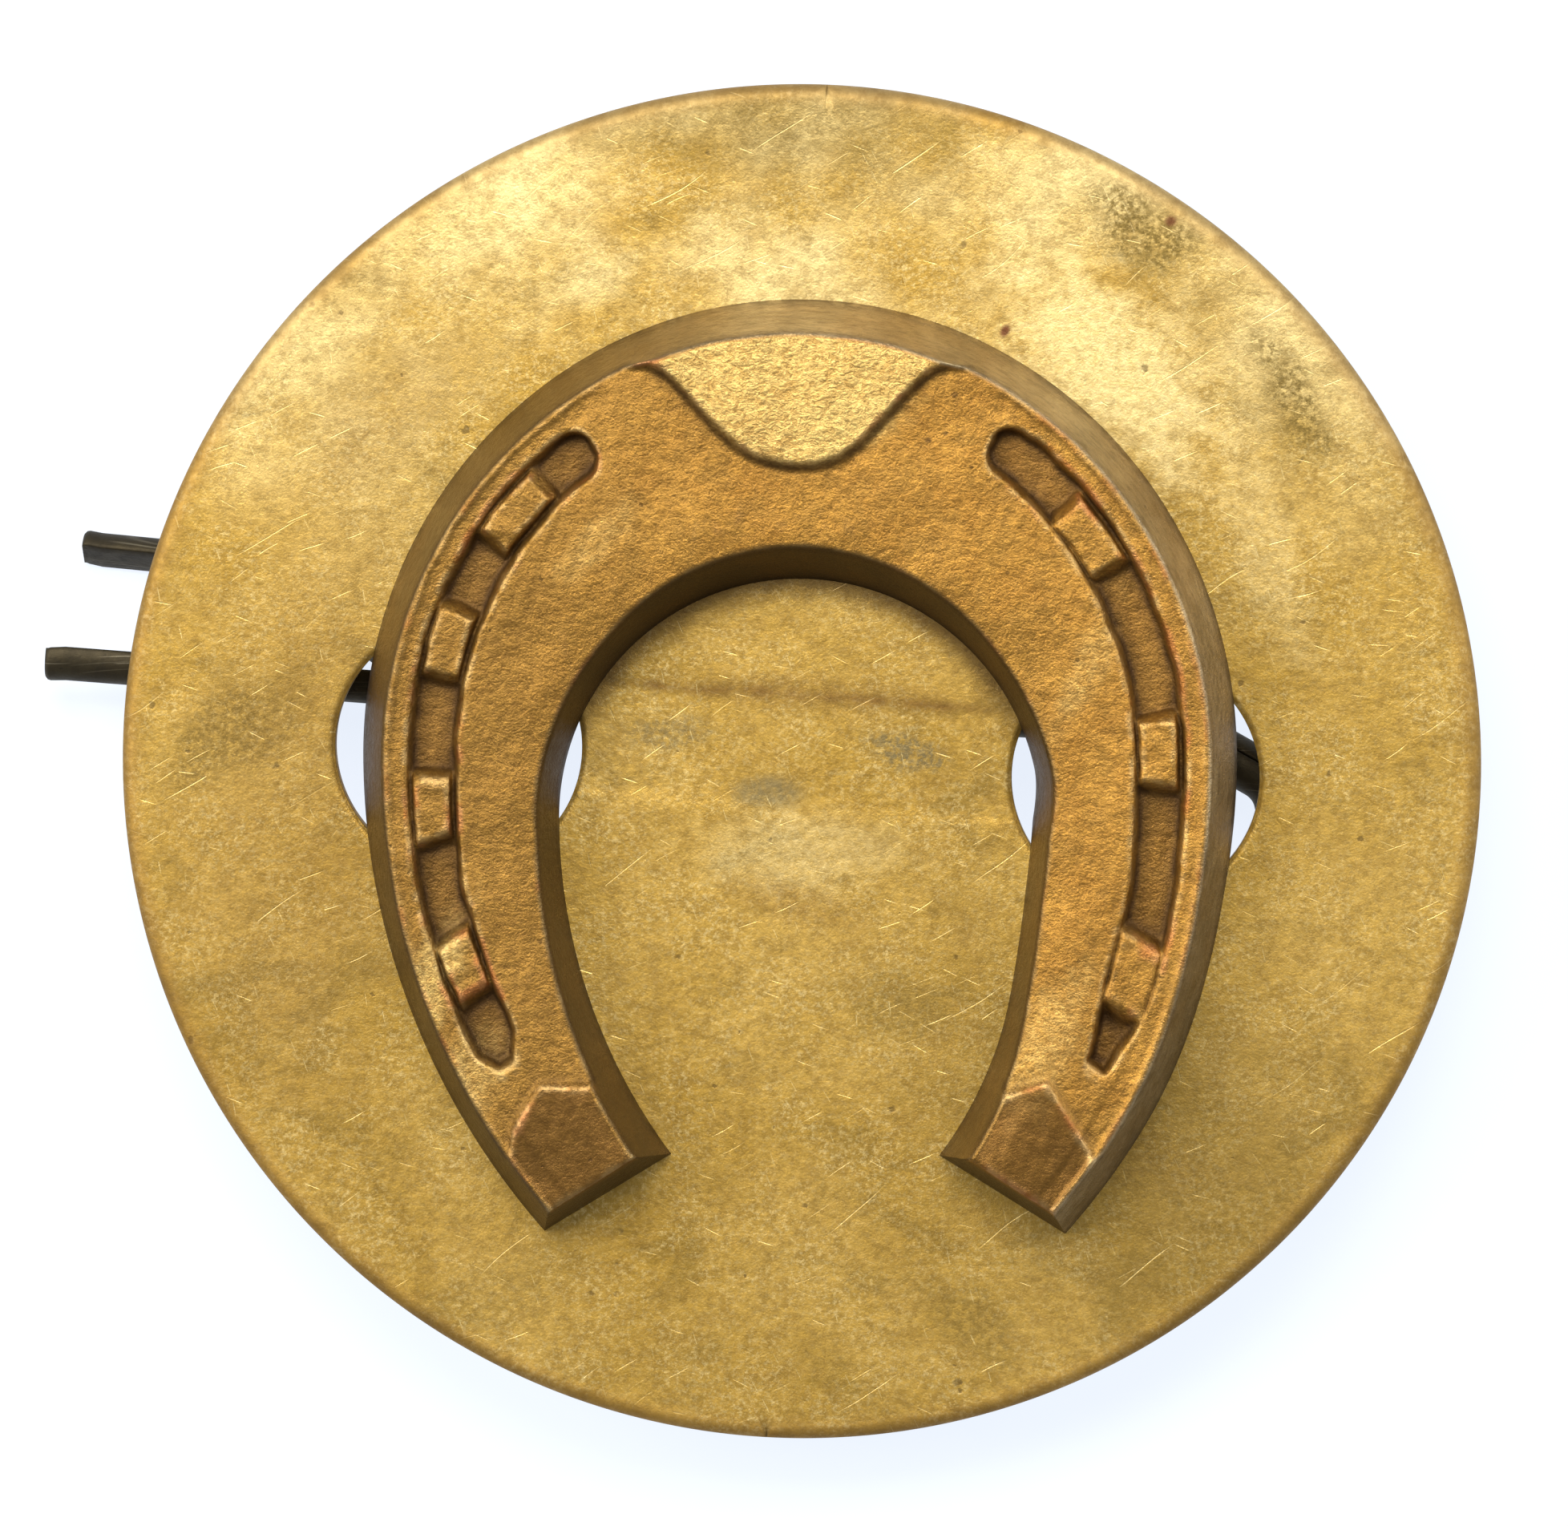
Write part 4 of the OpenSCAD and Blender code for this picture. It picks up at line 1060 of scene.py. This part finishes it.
# half-round wire carried from the upper tip along the leg, round the eye and back to the lower tip
def makePin():
    s = pin
    roll, pinA = math.radians(s["roll"]), math.radians(pinTurn)
    neckA = pinA - math.radians(s["neckTurn"])
    midZ = loops["bottomZ"] + 2 * loops["wireR"] + s["clearance"] + s["wireR"]
    mid = np.array([0, (leftAt[1] + rightAt[1]) / 2, midZ])
    loopX = (rightAt[0] - leftAt[0]) / 2
    bendX = loopX + loops["wireR"] - s["bendBefore"]
    up = np.array([0, 0, 1.0])

    def alongOf(a):
        return np.stack([np.cos(a), np.sin(a), 0 * a], -1)

    def leftOf(a):
        return np.stack([-np.sin(a), np.cos(a), 0 * a], -1)

    def splitOf(a):
        return math.cos(roll) * leftOf(a) - math.sin(roll) * up

    def boreOf(a):
        return math.sin(roll) * leftOf(a) + math.cos(roll) * up

    def pinPoint(run, sideways, z):
        a = np.full(np.shape(run), pinA)
        return mid + run[..., None] * alongOf(a) + sideways[..., None] * leftOf(a) + z[..., None] * up

    bendCentre = pinPoint(np.array([bendX]), np.array([-s["bendR"]]), np.zeros(1))[0]
    neck, beside = alongOf(np.array(neckA)), leftOf(np.array(neckA))
    eyeAt = bendCentre + s["bendR"] * beside + s["neckLength"] * neck
    neckClose = (s["eyeR"] + s["neckBendR"]) * math.cos(math.radians(s["openA"]))

    def legSections(side):
        reach = s["upperReach"] if side > 0 else s["lowerReach"]
        run = np.linspace(reach - s["spreadStart"], 0, s["freeRows"])      # free end, from the tip inward

        def spreadAt(r):
            return s["spread"] * ease(r, 0, s["spreadLength"]) + 0.045 * r if side > 0 else 0.028 * r

        slope = np.arctan2(spreadAt(run - 0.1) - spreadAt(run), 0.1)
        drop = -s["backward"] * ease(run, 0, run[0]) if side > 0 else 0 * run
        start = -loopX - s["spreadStart"]
        free = pinPoint(start - run, spreadAt(run), drop)
        # closed part up to the bend, round it, and along the neck
        straight = np.linspace(start, bendX, s["straightRows"] + 2)[1:-1]
        bendA = pinA - np.linspace(0, math.radians(s["neckTurn"]), s["bendRows"])
        bend = bendCentre + s["bendR"] * leftOf(bendA)
        plain = np.linspace(0, s["neckLength"] - neckClose, s["neckRows"] + 2)[1:-1, None]
        # the leg turns away from its twin before the eye
        tilt = np.linspace(0, math.radians(90 - s["openA"]), s["bendRows"])
        turnIn = eyeAt + (s["neckBendR"] * np.sin(tilt) - neckClose)[:, None] * neck
        angles = np.concatenate([pinA + slope, np.full(len(straight), pinA), bendA,
                                 np.full(len(plain) + len(tilt), neckA)])
        tilts = np.concatenate([np.zeros(len(angles) - len(tilt)), tilt])[:, None]
        centres = np.concatenate([free, pinPoint(straight, 0 * straight, 0 * straight), bend,
                                  bend[-1] + plain * neck, turnIn])
        centres = centres + side * (s["neckBendR"] * (1 - np.cos(tilts)) + s["gap"]) * splitOf(angles)
        out = -np.sin(tilts) * alongOf(angles) + side * np.cos(tilts) * splitOf(angles)
        return centres, out, boreOf(angles)

    turnA = math.pi - math.radians(s["openA"])
    sweepA = np.linspace(turnA, -turnA, s["eyeRows"] + 2)[1:-1]
    a = np.full(s["eyeRows"], neckA)
    radial = np.cos(sweepA)[:, None] * alongOf(a) + np.sin(sweepA)[:, None] * splitOf(a)
    eye = (eyeAt + s["eyeR"] * radial, radial, boreOf(a))
    legs = zip(legSections(1), eye, legSections(-1))
    centres, out, bore = (np.concatenate([upper, bow, lower[::-1]]) for upper, bow, lower in legs)
    b = np.radians(np.linspace(80, -80, 19))
    corner, flat = np.array(s["corner"]), np.array([[0.0, v] for v in s["flat"]])
    section = np.concatenate([np.stack([np.cos(b), np.sin(b)], -1), corner, flat, corner[::-1] * [1, -1]])
    sizes = np.full(len(centres), s["wireR"])
    # cut ends, slightly nipped
    for tip, step in ((0, 1), (len(centres) - 1, -1)):
        way = centres[tip] - centres[tip + step]
        way /= np.linalg.norm(way)
        ring = tip + step * np.arange(len(s["tipSizes"]))
        size = np.array(s["tipSizes"])[:, None]
        sizes[ring] *= size[:, 0]
        nip = s["tipNip"] * (1 - size) * s["wireR"] * out[ring]
        nip[1:] += nip[0]
        centres[ring] = centres[tip] - way * np.array(s["tipSteps"])[:, None] + nip
    rings, faces = sweep(centres, out, bore, section, sizes)
    makePiece("pin_wire", rings.reshape(-1, 3), faces, pinWire, "pin", "split_pin")


makePin()


studio = dict(
    floorColor=tone(236, 238, 242), floorFaint=(0.14, 0.14, 0.14, 1.0), floorGlow=(0.79, 0.85, 0.95, 1.0),
    glowStrength=1.0, floorBelow=0.00002, floorHalf=1.2, air=(0.94, 0.96, 1.0, 1.0), airStrength=0.4,
    target=(-0.64, 0.15, 0.0), lookFrom=(0.044, 0.088, 1.0), distance=400.0, frameWidth=65.8, sensor=36,
    # name, place, size across and deep, watts, colour
    lamps=[("topBox", (-10, 230, 350), (260, 170), 2.15, (1.0, 0.97, 0.92)),
           ("leftBox", (-300, 90, 260), (200, 200), 1.5, (1.0, 0.98, 0.95)),
           ("rightBox", (330, 120, 150), (160, 120), 0.85, (0.86, 0.9, 1.0))],
)


def mixed(tree, share, first, second):
    return signal(tree, "ShaderNodeMixShader", {0: share, 1: first, 2: second})


def makeFloor():
    s = studio
    material = bpy.data.materials.new("paleTable")
    tree = clearedTree(material)
    matte = signal(tree, "ShaderNodeBsdfDiffuse", {"Color": s["floorColor"]})
    # seen directly or in metal, the table shows its own white and only part of the light on it
    faint = signal(tree, "ShaderNodeBsdfDiffuse", {"Color": s["floorFaint"]})
    glow = signal(tree, "ShaderNodeEmission", {"Color": s["floorGlow"], "Strength": s["glowStrength"]})
    shown = signal(tree, "ShaderNodeAddShader", {0: faint, 1: glow})
    path = addNode(tree, "ShaderNodeLightPath").outputs
    seen = [Signal(path[key]) for key in ("Is Camera Ray", "Is Glossy Ray", "Is Transmission Ray")]
    direct = calc("MAXIMUM", seen[0], calc("MAXIMUM", seen[1], seen[2]))
    # seen from below the table is left out, so the back of the piece shows
    under = signal(tree, "ShaderNodeNewGeometry", None, "Backfacing")
    clear = signal(tree, "ShaderNodeBsdfTransparent")
    table = mixed(tree, under, mixed(tree, direct, matte, shown), clear)
    addNode(tree, "ShaderNodeOutputMaterial", {0: table})
    low, size = float(cadLow[2]) - s["floorBelow"], s["floorHalf"]
    mesh = bpy.data.meshes.new("table_top")
    corners = [(x * size, y * size, low) for x, y in ((-1, -1), (1, -1), (1, 1), (-1, 1))]
    mesh.from_pydata(corners, [], [(0, 1, 2, 3)])
    mesh.materials.append(material)
    floor = bpy.data.objects.new("table_top", mesh)
    bpy.context.scene.collection.objects.link(floor)


def makeLight():
    s = studio
    world = bpy.data.worlds.new("studioAir")
    bpy.context.scene.world = world
    tree = clearedTree(world)
    air = signal(tree, "ShaderNodeBackground", {"Color": s["air"], "Strength": s["airStrength"]})
    white = signal(tree, "ShaderNodeBackground", {"Color": (1.0, 1.0, 1.0, 1.0), "Strength": 1.0})
    seen = signal(tree, "ShaderNodeLightPath", None, "Is Camera Ray")
    addNode(tree, "ShaderNodeOutputWorld", {0: mixed(tree, seen, air, white)})
    for name, place, size, watts, color in s["lamps"]:
        lamp = bpy.data.lights.new(name, "AREA")
        lamp.shape, lamp.size, lamp.size_y = "RECTANGLE", size[0] * mm, size[1] * mm
        lamp.energy, lamp.color = watts, color
        holder = bpy.data.objects.new(name, lamp)
        holder.location = Vector(place) * mm
        holder.rotation_euler = (-Vector(place)).to_track_quat("-Z", "Y").to_euler()
        bpy.context.scene.collection.objects.link(holder)


def makeCamera():
    s = studio
    camera = bpy.data.cameras.new("camera")
    holder = bpy.data.objects.new("camera", camera)
    bpy.context.scene.collection.objects.link(holder)
    target, back = Vector(s["target"]) * mm, Vector(s["lookFrom"]) * s["distance"] * mm
    holder.location = target + back
    away = back.normalized()
    right = Vector((0, 1, 0)).cross(away).normalized()
    holder.rotation_euler = Matrix((right, away.cross(right), away)).transposed().to_euler()
    camera.sensor_width = s["sensor"]
    camera.lens = s["sensor"] * back.length / (s["frameWidth"] * mm)
    camera.clip_start, camera.clip_end = 0.01, 10
    bpy.context.scene.camera = holder


makeFloor()
makeLight()
makeCamera()
bpy.context.scene.view_settings.view_transform = "Standard"
print("stage set")
